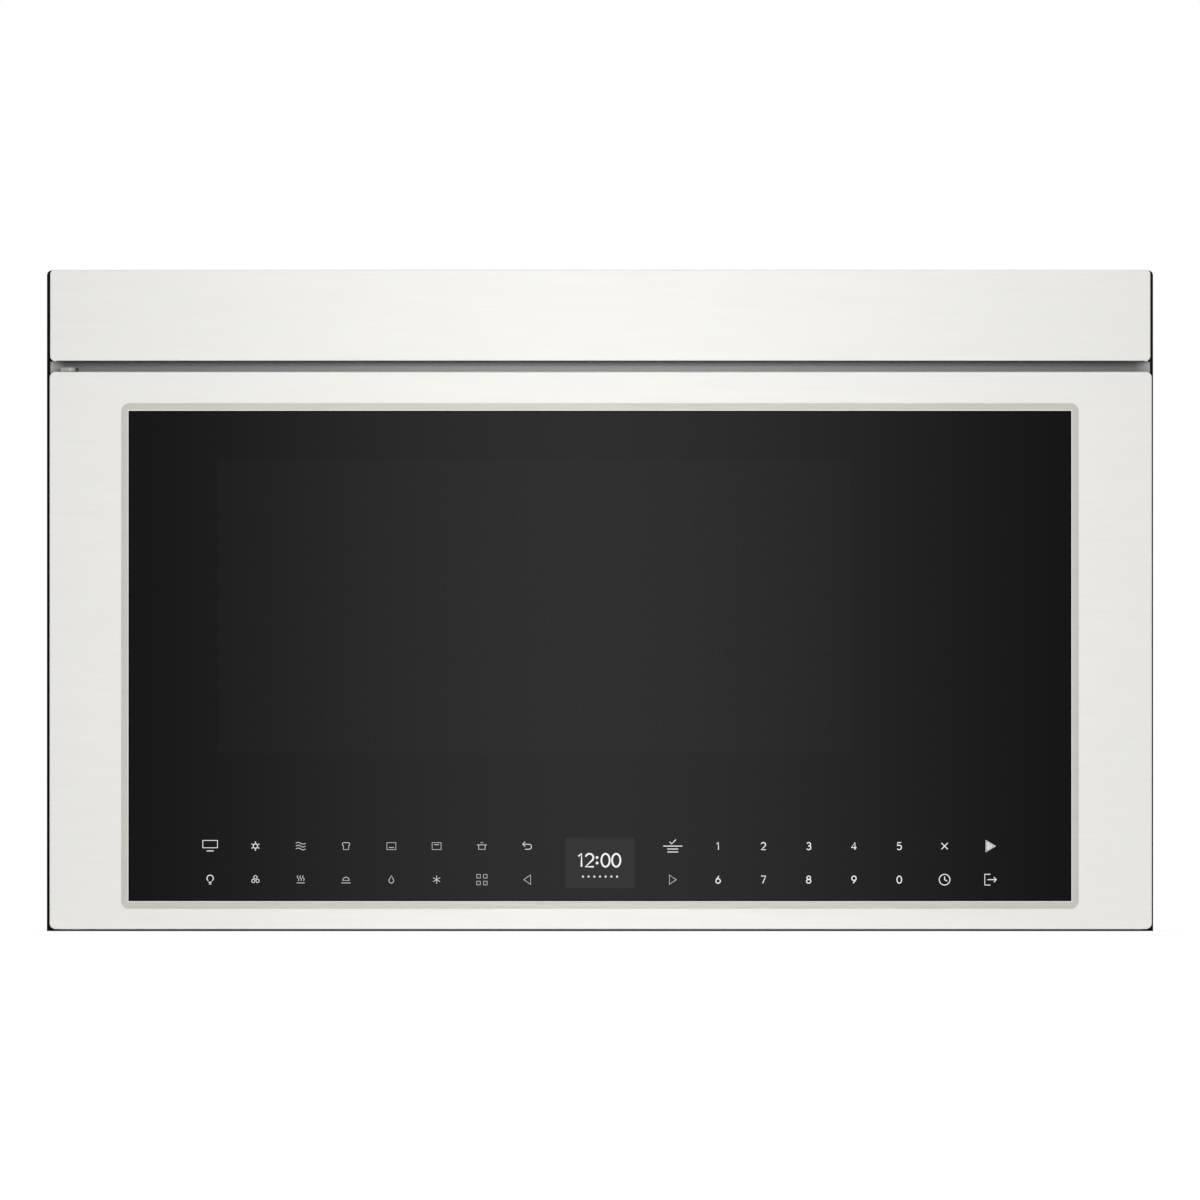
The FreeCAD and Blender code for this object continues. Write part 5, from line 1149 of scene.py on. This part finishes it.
# Strokes of each digit, one unit from its middle to its top.
DIGITS: dict[str, list[Stroke]] = {
    "0": [arc(0, 0, 1.0, squeeze=0.64, steps=24)],
    "1": [[(-0.38, 0.62), (0.1, 1.0), (0.1, -1.0)]],
    "2": [arc(0, 0.4, 0.6, 165, -35, 12) + [(-0.62, -1.0), (0.66, -1.0)]],
    "3": [arc(0, 0.48, 0.52, 150, -90, 12) + arc(0, -0.44, 0.56, 90, -150, 12, 1.08)],
    "4": [[(0.28, -1.0), (0.28, 1.0), (-0.7, -0.42), (0.7, -0.42)]],
    "5": [[(0.52, 1.0), (-0.42, 1.0), (-0.52, 0.12)] + arc(-0.03, -0.36, 0.64, 125, -145, 14)],
    "6": [arc(0, -0.38, 0.62, steps=20), [(0.26, 1.0), (-0.3, 0.3), (-0.55, -0.1)]],
    "7": [[(-0.62, 1.0), (0.62, 1.0), (-0.18, -1.0)]],
    "8": [arc(0, 0.5, 0.5, steps=18), arc(0, -0.44, 0.56, steps=18, squeeze=1.08)],
    "9": [arc(0, 0.38, 0.62, steps=20), [(-0.26, -1.0), (0.3, -0.3), (0.55, 0.1)]],
    ":": [arc(0, level, 0.1, steps=6) for level in (0.42, -0.42)],
}


@dataclass
class KeyPad:
    """Printed keys on the glass and the lit clock between them. Sizes are in metres.

    Two rows stand above and below the display's middle. Columns are even to each side of it.
    """

    inner_column: float = 49.9 * MM
    column_pitch: float = 31.05 * MM
    row_rise: float = 11.5 * MM
    mark_size: float = 3.1 * MM
    large: float = 1.25
    small: float = 0.9
    digit_size: float = 2.45 * MM
    clock_size: float = 4.45 * MM
    clock_rise: float = 1.8 * MM
    clock_places: tuple = (("1", -2.95), ("2", -1.62), (":", -0.45), ("0", 0.85), ("0", 2.5))
    thin: float = 0.25 * MM
    bold: float = 0.34 * MM
    digit_line: float = 0.4 * MM
    clock_line: float = 0.68 * MM
    ink_wall: float = 0.03 * MM
    day_dots: int = 7
    day_pitch: float = 3.9 * MM
    day_drop: float = 9.4 * MM
    day_size: float = 0.45 * MM
    day_line: float = 0.3 * MM
    mode_columns: range = range(1, 6)
    fine_marks: tuple = (Mark.LEFT, Mark.RIGHT, Mark.FAN, Mark.RETURN)
    large_marks: tuple = (Mark.SCREEN, Mark.START, Mark.CLOCK, Mark.DOOR, Mark.SQUARES)
    left_top: tuple = (Mark.SCREEN, Mark.GEAR, Mark.WIND, Mark.BREAD, Mark.LOWER_HEAT, Mark.UPPER_HEAT,
                       Mark.POT, Mark.RETURN)
    left_low: tuple = (Mark.LAMP, Mark.FAN, Mark.STEAM, Mark.SOFTEN, Mark.DROP, Mark.FLAKE,
                       Mark.SQUARES, Mark.LEFT)
    right_top: tuple = (Mark.LIST, "1", "2", "3", "4", "5", Mark.CROSS, Mark.START)
    right_low: tuple = (Mark.RIGHT, "6", "7", "8", "9", "0", Mark.CLOCK, Mark.DOOR)

    def build(self) -> None:
        """Draw every key and the lit clock."""
        low, high = box_of("display_module")
        self.middle = (low + high) / 2
        self.front = box_of("door_glass")[0].y
        bold: list[Piece] = []
        thin: list[Piece] = []
        for level, left, right in ((1, self.left_top, self.right_top), (-1, self.left_low, self.right_low)):
            keys = [(-1, column, key) for column, key in enumerate(reversed(left))]
            keys += [(1, column, key) for column, key in enumerate(right)]
            for side, column, key in keys:
                spot = (side * (self.inner_column + column * self.column_pitch),
                        self.middle.z + level * self.row_rise)
                is_mode = side < 0 and column in self.mode_columns
                (thin if is_mode else bold).append(self.draw(key, spot, is_mode))
        present(join(bold, "white_key_marks"), "door", WHITE_LEGEND)
        present(join(thin, "grey_key_marks"), "door", GREY_LEGEND)
        self.make_clock()

    def draw(self, key: "Mark | str", spot: tuple[float, float], is_mode: bool) -> Piece:
        """Draw one key.

        Args:
            key: a mark, or a digit.
            spot: where its middle is, across and up.
            is_mode: whether it is one of the lesser keys, drawn thinner and smaller.

        Returns:
            The mark's mesh, lying on the glass.
        """
        if isinstance(key, str):
            return self.strokes(DIGITS[key], self.digit_size, self.digit_line, spot)
        scale = self.large if key in self.large_marks else self.small if is_mode else 1.0
        width = self.thin if is_mode or key in self.fine_marks else self.bold
        return self.strokes(MARKS[key], self.mark_size * scale, width, spot)

    def strokes(self, lines: list[Stroke], size: float, width: float, spot: tuple[float, float]) -> Piece:
        """Draw lines of ink as flattened tubes, made a mesh.

        Args:
            lines: the strokes on their grid.
            size: length of one grid unit.
            width: half the line's width.
            spot: the mark's middle, across and up.

        Returns:
            The strokes as one mesh.
        """
        curve = bpy.data.curves.new("ink", "CURVE")
        curve.dimensions = "3D"
        curve.bevel_depth = width
        curve.bevel_resolution = 1
        curve.use_fill_caps = True
        for line in lines:
            closed = line[0] == line[-1]
            points = line[:-1] if closed else line
            spline = curve.splines.new("POLY")
            spline.points.add(len(points) - 1)
            for point, (x, z) in zip(spline.points, points):
                point.co = (x * size, 0, z * size, 1)
            spline.use_cyclic_u = closed
        piece = bpy.data.objects.new("ink", curve)
        bpy.context.scene.collection.objects.link(piece)
        choose(piece)
        bpy.ops.object.convert(target="MESH")
        piece = bpy.context.object
        piece.location = (spot[0], self.front - self.ink_wall / 2, spot[1])
        piece.scale = (1, self.ink_wall / 2 / width, 1)
        return seal(settle(piece))

    def make_clock(self) -> None:
        """Light the clock's digits and the row of day dots on the display."""
        lit = []
        for digit, place in self.clock_places:
            spot = (self.middle.x + place * self.clock_size, self.middle.z + self.clock_rise)
            lit.append(self.strokes(DIGITS[digit], self.clock_size, self.clock_line, spot))
        for day in range(self.day_dots):
            across = self.middle.x + (day - (self.day_dots - 1) / 2) * self.day_pitch
            spot = (across, self.middle.z - self.day_drop)
            lit.append(self.strokes([arc(0, 0, 1, steps=8)], self.day_size, self.day_line, spot))
        present(join(lit, "lit_clock"), "door", DISPLAY_LIT)


@dataclass
class OvenLiner:
    """Enamelled oven box: rounded corners, a front flange and the round convection pocket. Sizes are in metres."""

    wall: float = 1.0 * MM
    flange: float = 10.0 * MM
    corner: float = 6.5 * MM
    back_corner: float = 5.85 * MM
    pocket_radius: float = 92.0 * MM
    pocket_sides: int = 72
    shaft_hole: float = 6.0 * MM
    lamp_hole: float = 1.3 * MM
    lamp_pitch: float = 4.6 * MM
    lamp_rows: int = 2
    port_lap: float = 4.0 * MM

    def build(self) -> None:
        """Press the box, open it for lamp, shaft, port and pocket, and dress it."""
        low, high = box_of("oven_cavity")
        back = box_of("convection_cover")[1].y
        rim = flat_margin(self.flange)
        inside = (low + rim, Vector((high.x, back, high.z)) - rim)
        liner = brick(*inside, "oven_liner")
        round_edges(liner, runs_along(Y), self.corner, 6)
        round_edges(liner, lies_at(Y, back), self.back_corner, 5)
        open_face(liner, lambda face: face.normal.y < -0.9)
        thicken(liner, self.wall, outward=True)
        pocket = self.make_pocket(back, high.y)
        self.open_walls(liner, back, inside[1].x)
        lip = brick(low, (high.x, low.y + self.wall, high.z))
        mouth = brick(inside[0] - deep(self.flange), inside[1])
        round_edges(mouth, runs_along(Y), self.corner, 6)
        carve(lip, mouth)
        join([liner, lip, pocket], "oven_liner")
        smooth(liner)
        present(liner, "cabinet", CAVITY_ENAMEL)
        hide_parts("oven_cavity")

    def pocket_spot(self) -> Vector:
        """The middle of the convection cover."""
        low, high = box_of("convection_cover")
        return (low + high) / 2

    def make_pocket(self, front: float, back: float) -> Piece:
        """Press the round pocket behind the oven.

        Args:
            front: where its open side is, from front to back.
            back: the back of its floor.

        Returns:
            The pocket's shell.
        """
        spot = self.pocket_spot()
        depth = back - self.wall - front
        pocket = disc((spot.x, front + depth / 2, spot.z), self.pocket_radius, depth, Y, self.pocket_sides)
        round_edges(pocket, lies_at(Y, back - self.wall), self.corner, 4)
        open_face(pocket, lambda face: face.normal.y < -0.9)
        return thicken(pocket, self.wall, outward=True)

    def open_walls(self, liner: Piece, back: float, right: float) -> None:
        """Cut the openings of the back wall, the floor and the right wall.

        Args:
            liner: the oven box.
            back: the inner face of its back wall.
            right: the inner face of its right wall.
        """
        spot = self.pocket_spot()
        through = self.wall * 4
        carve(liner, disc((spot.x, back, spot.z), self.pocket_radius, through, Y, self.pocket_sides))
        low, high = box_of("glass_tray")
        axis = (low + high) / 2
        floor = box_of("oven_cavity")[0].z + self.flange
        carve(liner, disc((axis.x, axis.y, floor), self.shaft_hole, through, Z, 32))
        low, high = box_of("waveguide_cover")
        lap = Vector((0, self.port_lap, self.port_lap))
        carve(liner, brick(Vector((right - through, low.y, low.z)) + lap,
                           Vector((right + through, high.y, high.z)) - lap))
        low, high = box_of("cavity_lamp")
        middle = (low + high) / 2
        holes = []
        for row in range(-self.lamp_rows, self.lamp_rows + 1):
            count = 2 * self.lamp_rows + 1 - abs(row)
            rise = row * self.lamp_pitch * math.sqrt(3) / 2
            for place in range(count):
                across = (place - (count - 1) / 2) * self.lamp_pitch
                holes.append(disc((right, middle.y + across, middle.z + rise), self.lamp_hole, through, X, 12))
        carve(liner, join(holes, "lamp_holes"))


@dataclass
class GlassTray:
    """Pressed glass tray: a flat foot, a raised rim and three moulded rings. Sizes are in metres.

    The profile's corners are in millimetres: across from the foot's edge or the rim, and up from the foot or the rim.
    """

    wall: float = 4.4 * MM
    foot: float = 20.5 * MM
    under: tuple = ((-1, 0), (1, 0.4), (9, 5), (16, 10.6))
    rim: tuple = ((-1, -2.4), (0, -1.2), (-0.5, -0.3), (-1.6, 0), (-3, -0.4), (-7.5, -4.2))
    bowl: tuple = ((4, 6.2), (-2, 4.9), (-7, 4.4))
    ridge_rise: float = 0.8 * MM
    ridge_half: float = 1.6 * MM
    ridges: tuple = (0.2, 0.46, 0.74)
    shade_angle: float = 50.0

    def build(self) -> None:
        """Press the tray and dress it."""
        low, high = box_of("glass_tray")
        radius = (high.x - low.x) / 2
        centre = Vector(((low.x + high.x) / 2, (low.y + high.y) / 2, low.z))
        foot = radius - self.foot
        profile = [(0.0, 0.0)]
        for corners, reach, level in ((self.under, foot, 0), (self.rim, radius, high.z - low.z), (self.bowl, foot, 0)):
            profile += [(reach + across * MM, level + up * MM) for across, up in corners]
        for share in reversed(self.ridges):
            for side, rise in ((1, 0), (0.5, self.ridge_rise), (-0.5, self.ridge_rise), (-1, 0)):
                profile.append((share * radius + side * self.ridge_half, self.wall + rise))
        tray = spun([*profile, (0.0, self.wall)], centre, "pressed_glass_tray")
        smooth(tray, self.shade_angle)
        present(tray, "turntable", TRAY_GLASS)
        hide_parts("glass_tray")


@dataclass
class InnerDoor:
    """Moulded cover on the door's back, with a stepped field round the window. Sizes are in metres."""

    corner: float = 5.0 * MM
    edge: float = 1.6 * MM
    rim: float = 13.0 * MM
    step: float = 3.0 * MM
    step_depth: float = 1.4 * MM
    window_corner: float = 4.0 * MM
    window_past: float = 20.0 * MM
    lap: float = 6.0 * MM
    slot_side: float = 0.6 * MM
    hook_slots: tuple = ((145.9 * MM, 166.6 * MM), (280.9 * MM, 301.6 * MM))

    def build(self) -> None:
        """Mould the cover, open its window and its two hook slots, and dress it."""
        low, high = box_of("choke_cover")
        cover = brick(low, high, "moulded_inner_cover")
        round_edges(cover, runs_along(Y), self.corner, 6)
        round_edges(cover, lies_at(Y, high.y), self.edge, 4)
        carve(cover, self.make_groove(low, high))
        pane_low, pane_high = box_of("inner_pane")
        lap, past = flat_margin(self.lap), deep(self.window_past)
        carve(cover, rounded_block(pane_low + lap - past, pane_high - lap + past, Y, self.window_corner))
        carve(cover, brick(Vector((pane_low.x, low.y - MM, pane_low.z)) - flat_margin(FLUSH),
                           pane_high + flat_margin(FLUSH) + deep(FLUSH)))
        hook_low, hook_high = box_of("latch_hooks")
        for bottom, top in self.hook_slots:
            carve(cover, brick((hook_low.x - self.slot_side, low.y - MM, bottom),
                               (hook_high.x + self.slot_side, high.y + MM, top)))
        smooth(cover)
        present(cover, "door", BLACK_PLASTIC)
        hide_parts("choke_cover")

    def make_groove(self, low: Vector, high: Vector) -> Piece:
        """The ring that is cut into the cover's back.

        Args:
            low: the cover's lowest corner.
            high: its highest corner.

        Returns:
            The closed ring, used as a cutter.
        """
        rim, wide = flat_margin(self.rim), flat_margin(self.step)
        depth, past = deep(self.step_depth), deep(MM)
        back_low = Vector((low.x, high.y, low.z))
        ring = rounded_block(back_low + rim - depth, high - rim + past, Y, self.corner * 2)
        core = rounded_block(back_low + rim + wide - depth - past, high - rim - wide + past * 2, Y,
                             self.corner * 2 - self.step)
        return carve(ring, core)


@dataclass
class GreaseFilters:
    """Two aluminium grease filters: folded frames, crossed wire mesh and a pull tab each. Sizes are in metres."""

    width: float = 230.0 * MM
    corner: float = 6.0 * MM
    fold: float = 1.0 * MM
    border: float = 9.0 * MM
    recess: float = 1.6 * MM
    wire: float = 0.7 * MM
    wire_sink: float = 0.42 * MM
    columns: int = 42
    rows: int = 30
    lap: float = 6.8 * MM
    tab: tuple = (22.0 * MM, 9.0 * MM, 0.9 * MM)
    tab_corner: float = 2.0 * MM
    tab_edge: float = 0.25 * MM

    def build(self) -> None:
        """Make both filters and dress them."""
        low, high = box_of("grease_filters")
        frames, nets = [], []
        for left in (low.x, high.x - self.width):
            corner = Vector((left, low.y, low.z))
            far = Vector((left + self.width, high.y, high.z))
            frames += [self.make_frame(corner, far), self.make_tab(corner, far)]
            nets.append(self.make_net(corner, far))
        folded = smooth(join(frames, "grease_filter_frames"))
        present(folded, "cabinet", MESH_ALUMINIUM)
        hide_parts("grease_filters")
        present(join(nets, "grease_filter_nets"), "cabinet", NET_WIRE)

    def make_frame(self, low: Vector, high: Vector) -> Piece:
        """Fold one frame round its sunk panel.

        Args:
            low: the filter's lowest corner.
            high: its highest corner.

        Returns:
            The frame.
        """
        folded = rounded_block(low, high, Z, self.corner)
        round_edges(folded, lies_at(Z, low.z), self.fold, 3)
        rim = Vector((self.border, self.border, 0))
        for level in (low.z, high.z):
            carve(folded, rounded_block(Vector((low.x, low.y, level - self.recess)) + rim,
                                        Vector((high.x, high.y, level + self.recess)) - rim, Z, self.corner / 2))
        return folded

    def make_tab(self, low: Vector, high: Vector) -> Piece:
        """Fold one pull tab on the frame's front border, just inside the base plate's opening.

        Args:
            low: the filter's lowest corner.
            high: its highest corner.

        Returns:
            The tab.
        """
        long, wide, wall = self.tab
        middle = (low.x + high.x) / 2
        tab = brick((middle - long / 2, low.y + self.lap, low.z - wall + FLUSH),
                    (middle + long / 2, low.y + self.lap + wide, low.z + FLUSH))
        round_edges(tab, runs_along(Z), self.tab_corner, 4)
        return soften(tab, self.tab_edge)

    def make_net(self, low: Vector, high: Vector) -> Piece:
        """Cross wires over one filter's sunk panel.

        Args:
            low: the filter's lowest corner.
            high: its highest corner.

        Returns:
            The net of wires.
        """
        deselect()
        middle = (low + high) / 2
        bpy.ops.mesh.primitive_grid_add(x_subdivisions=self.columns, y_subdivisions=self.rows, size=1,
                                        location=(middle.x, middle.y, low.z + self.recess - self.wire_sink))
        net = bpy.context.object
        net.scale = (high.x - low.x - 2 * self.border - self.wire, high.y - low.y - 2 * self.border - self.wire, 1)
        settle(net)
        return seal(modify(net, "WIREFRAME", thickness=self.wire, use_even_offset=False, use_boundary=True))


def seen(tree: Tree) -> Socket:
    """One where a ray comes from the camera, a mirror or a glass, else zero.

    Args:
        tree: the node tree that gets the nodes.

    Returns:
        The socket that carries the share.
    """
    rays = add_node(tree, "LightPath", out=None)
    direct = add_node(tree, "Math", {0: rays["Is Camera Ray"], 1: rays["Is Glossy Ray"]}, operation="MAXIMUM")
    return add_node(tree, "Math", {0: direct, 1: rays["Is Transmission Ray"]}, operation="MAXIMUM")


@dataclass(frozen=True)
class FloorPaint(Surface):
    """Pale matt paint that looks brighter than the light it gives back to the object."""

    colour: str
    glow: float

    def shader(self, tree: Tree, place: Socket) -> Socket:
        """Add the paint, with light of its own for what sees it directly.

        Args:
            tree: the material's node tree.
            place: the object coordinates, not used here.

        Returns:
            The socket of the finished shader.
        """
        paint = add_node(tree, "BsdfDiffuse", {"Color": linear(self.colour)})
        dull, bright = [add_node(tree, "Emission", {"Color": WHITE, "Strength": level}) for level in (0.0, self.glow)]
        light = add_node(tree, "MixShader", {0: seen(tree), 1: dull, 2: bright})
        return add_node(tree, "AddShader", {0: paint, 1: light})


@dataclass(frozen=True)
class CardLight(Surface):
    """White light, brightest upright in a card's middle and fading to its two sides."""

    middle: float
    width: float
    peak: float

    def shader(self, tree: Tree, place: Socket) -> Socket:
        """Add the light, in front of a clear card.

        Args:
            tree: the material's node tree.
            place: the object coordinates.

        Returns:
            The socket of the finished shader.
        """
        turn = 2 * math.pi / self.width
        across = add_node(tree, "SeparateXYZ", {0: place}, out="X")
        angle = add_node(tree, "Math", {0: across, 1: turn, 2: -self.middle * turn}, operation="MULTIPLY_ADD")
        bell = add_node(tree, "Math", {0: angle}, operation="COSINE")
        level = add_node(tree, "MapRange", {"Value": bell, "From Min": -1.0, "From Max": 1.0, "To Max": self.peak})
        light = add_node(tree, "Emission", {"Color": WHITE, "Strength": level})
        return add_node(tree, "AddShader", {0: light, 1: add_node(tree, "BsdfTransparent")})


@dataclass
class Studio:
    """Pale floor, white surroundings, soft lights and the camera in front of the oven. Sizes are in metres."""

    view_width: float = 822.6 * MM
    camera_distance: float = 20.0
    camera_height: float = 40.0 * MM
    aim_height: float = 227.0 * MM
    sensor: float = 36.0
    view_end: float = 100.0
    ambient: float = 0.62
    floor_size: tuple = (60.0, 60.0)
    floor_drop: float = 0.4 * MM
    floor_paint: Surface = FloorPaint("studio_floor_paint", "#a5a5a5", 0.8)
    card_distance: float = 1.9
    card_shift: float = -8.0 * MM
    card_size: tuple = (0.82, 0.56)
    card_peak: float = 2.75
    lights: tuple = (("top_light", (0, -0.6, 2.6), 2.4, 9.0), ("front_light", (0, -4.5, 2.2), 3.0, 22.0))
    light_aim: tuple = (0, 0, 0.2)

    def build(self) -> None:
        """Set up the stage."""
        bpy.context.scene.view_settings.view_transform = "Standard"
        self.make_world()
        self.make_floor()
        self.make_card()
        self.make_lights()
        self.make_camera()

    def make_world(self) -> None:
        """White surroundings to the eye, with a gentler light on the object."""
        world = bpy.data.worlds.new("studio")
        bpy.context.scene.world = world
        tree = clean_tree(world)
        level = add_node(tree, "MapRange", {"Value": seen(tree), "To Min": self.ambient})
        back = add_node(tree, "Background", {"Color": WHITE, "Strength": level})
        add_node(tree, "OutputWorld", {"Surface": back}, out=None)

    def stage_plane(self, name: str, paint: Surface, size: tuple[float, float], **place) -> Piece:
        """Stand a plane on the stage.

        Args:
            name: the plane's name.
            paint: what it is made of.
            size: its two sides, before it is turned.
            place: its location and rotation.

        Returns:
            The plane.
        """
        deselect()
        bpy.ops.mesh.primitive_plane_add(size=1, **place)
        plane = bpy.context.object
        plane.scale = (*size, 1)
        settle(plane)
        plane.name = name
        plane.data.materials.append(paint.material())
        return plane

    def make_floor(self) -> None:
        """A pale floor that keeps the oven's shadow."""
        self.stage_plane("studio_floor", self.floor_paint, self.floor_size,
                         location=(0, 0, CAD_BOX[0][Z] - self.floor_drop))

    def make_card(self) -> None:
        """A soft card in front: brightest upright in its middle, fading to its sides."""
        low, high = box_of("door_glass")
        width, height = self.card_size
        middle = ((low.x + high.x) / 2 + self.card_shift, low.y - self.card_distance, height / 2 + MM)
        light = CardLight("studio_card_light", middle[X], width, self.card_peak)
        card = self.stage_plane("studio_card", light, self.card_size, location=middle, rotation=(math.pi / 2, 0, 0))
        card.visible_camera = card.visible_shadow = card.visible_diffuse = False

    def make_lights(self) -> None:
        """One broad soft light above and one in front."""
        for name, spot, size, power in self.lights:
            light = bpy.data.lights.new(name, "AREA")
            light.size = size
            light.energy = power
            lamp = bpy.data.objects.new(name, light)
            lamp.location = spot
            lamp.rotation_euler = (Vector(self.light_aim) - Vector(spot)).to_track_quat("-Z", "Y").to_euler()
            lamp.visible_glossy = False
            bpy.context.scene.collection.objects.link(lamp)

    def make_camera(self) -> None:
        """A low camera far in front, with a lens that frames the oven as the photograph does."""
        lens = bpy.data.cameras.new("camera")
        lens.sensor_width = self.sensor
        lens.lens = self.sensor * self.camera_distance / self.view_width
        lens.clip_end = self.view_end
        camera = bpy.data.objects.new("camera", lens)
        camera.location = (0, CAD_BOX[0][Y] - self.camera_distance, self.camera_height)
        tilt = math.atan2(self.aim_height - self.camera_height, self.camera_distance)
        camera.rotation_euler = (math.pi / 2 + tilt, 0, 0)
        bpy.context.scene.collection.objects.link(camera)
        bpy.context.scene.camera = camera


# Finish of each node that keeps its own shape.
NODE_FINISHES: tuple = (
    (CASE_PAINT, ["outer_case", "base_plate"]),
    (FACE_PAINT, ["front_frame"]),
    (CAVITY_ENAMEL, ["convection_cover"]),
    # The back plate's darker zinc is painted shade from the wall plate over it.
    (ZINC_PAINTED_SHADE, ["back_plate"]),
    (ZINC_SHEET, ["wall_mounting_plate", "component_shelf", "vent_blower_housing", "waveguide",
                  "cooling_fan_housing"]),
    (HINGE_STEEL, ["hinge_top", "hinge_bottom"]),
    (BARE_STEEL, ["frame_screws", "latch_spring", "release_plunger", "convection_fan"]),
    (MOTOR_PAINT, ["vent_motor", "convection_motor", "turntable_motor", "cooling_fan_motor"]),
    (CORE_IRON, ["high_voltage_transformer"]),
    (HEATER_SHEATH, ["broil_element", "convection_element"]),
    (MAGNETRON_METAL, ["magnetron", "release_solenoid"]),
    (CAN_ALUMINIUM, ["high_voltage_capacitor"]),
    (BLACK_PLASTIC, ["door_chassis", "vent_blower_wheels", "power_inlet_bushing", "display_module"]),
    (GREY_PLASTIC, ["latch_board", "interlock_switches", "cooktop_lamps", "cavity_lamp", "cooling_fan"]),
    (WHITE_NYLON, ["hinge_bushes", "latch_hooks", "switch_plunger_lower", "switch_plunger_upper",
                   "turntable_coupler", "turntable_ring", "turntable_roller_1", "turntable_roller_2",
                   "turntable_roller_3"]),
    (CHARCOAL, ["charcoal_filter"]),
    (CIRCUIT_BOARD, ["power_board"]),
    (MICA, ["waveguide_cover"]),
    (SCREEN_SHEET, ["door_screen"]),
    (CLEAR_GLASS, ["inner_pane"]),
    (LENS_GLASS, ["lamp_lenses"]),
)


def main() -> None:
    """Build the oven's looks, its stage and its camera, and report the pieces."""
    logging.basicConfig(level=logging.INFO, format="%(name)s: %(message)s")
    for finish, nodes in NODE_FINISHES:
        dress(nodes, finish)
    for part in (TopPanel(), DoorFront(), KeyPad(), InnerDoor(), OvenLiner(), GlassTray(), GreaseFilters(), Studio()):
        part.build()
        log.info("built %s", type(part).__name__)
    bpy.context.view_layer.update()


if __name__ == "__main__":
    main()
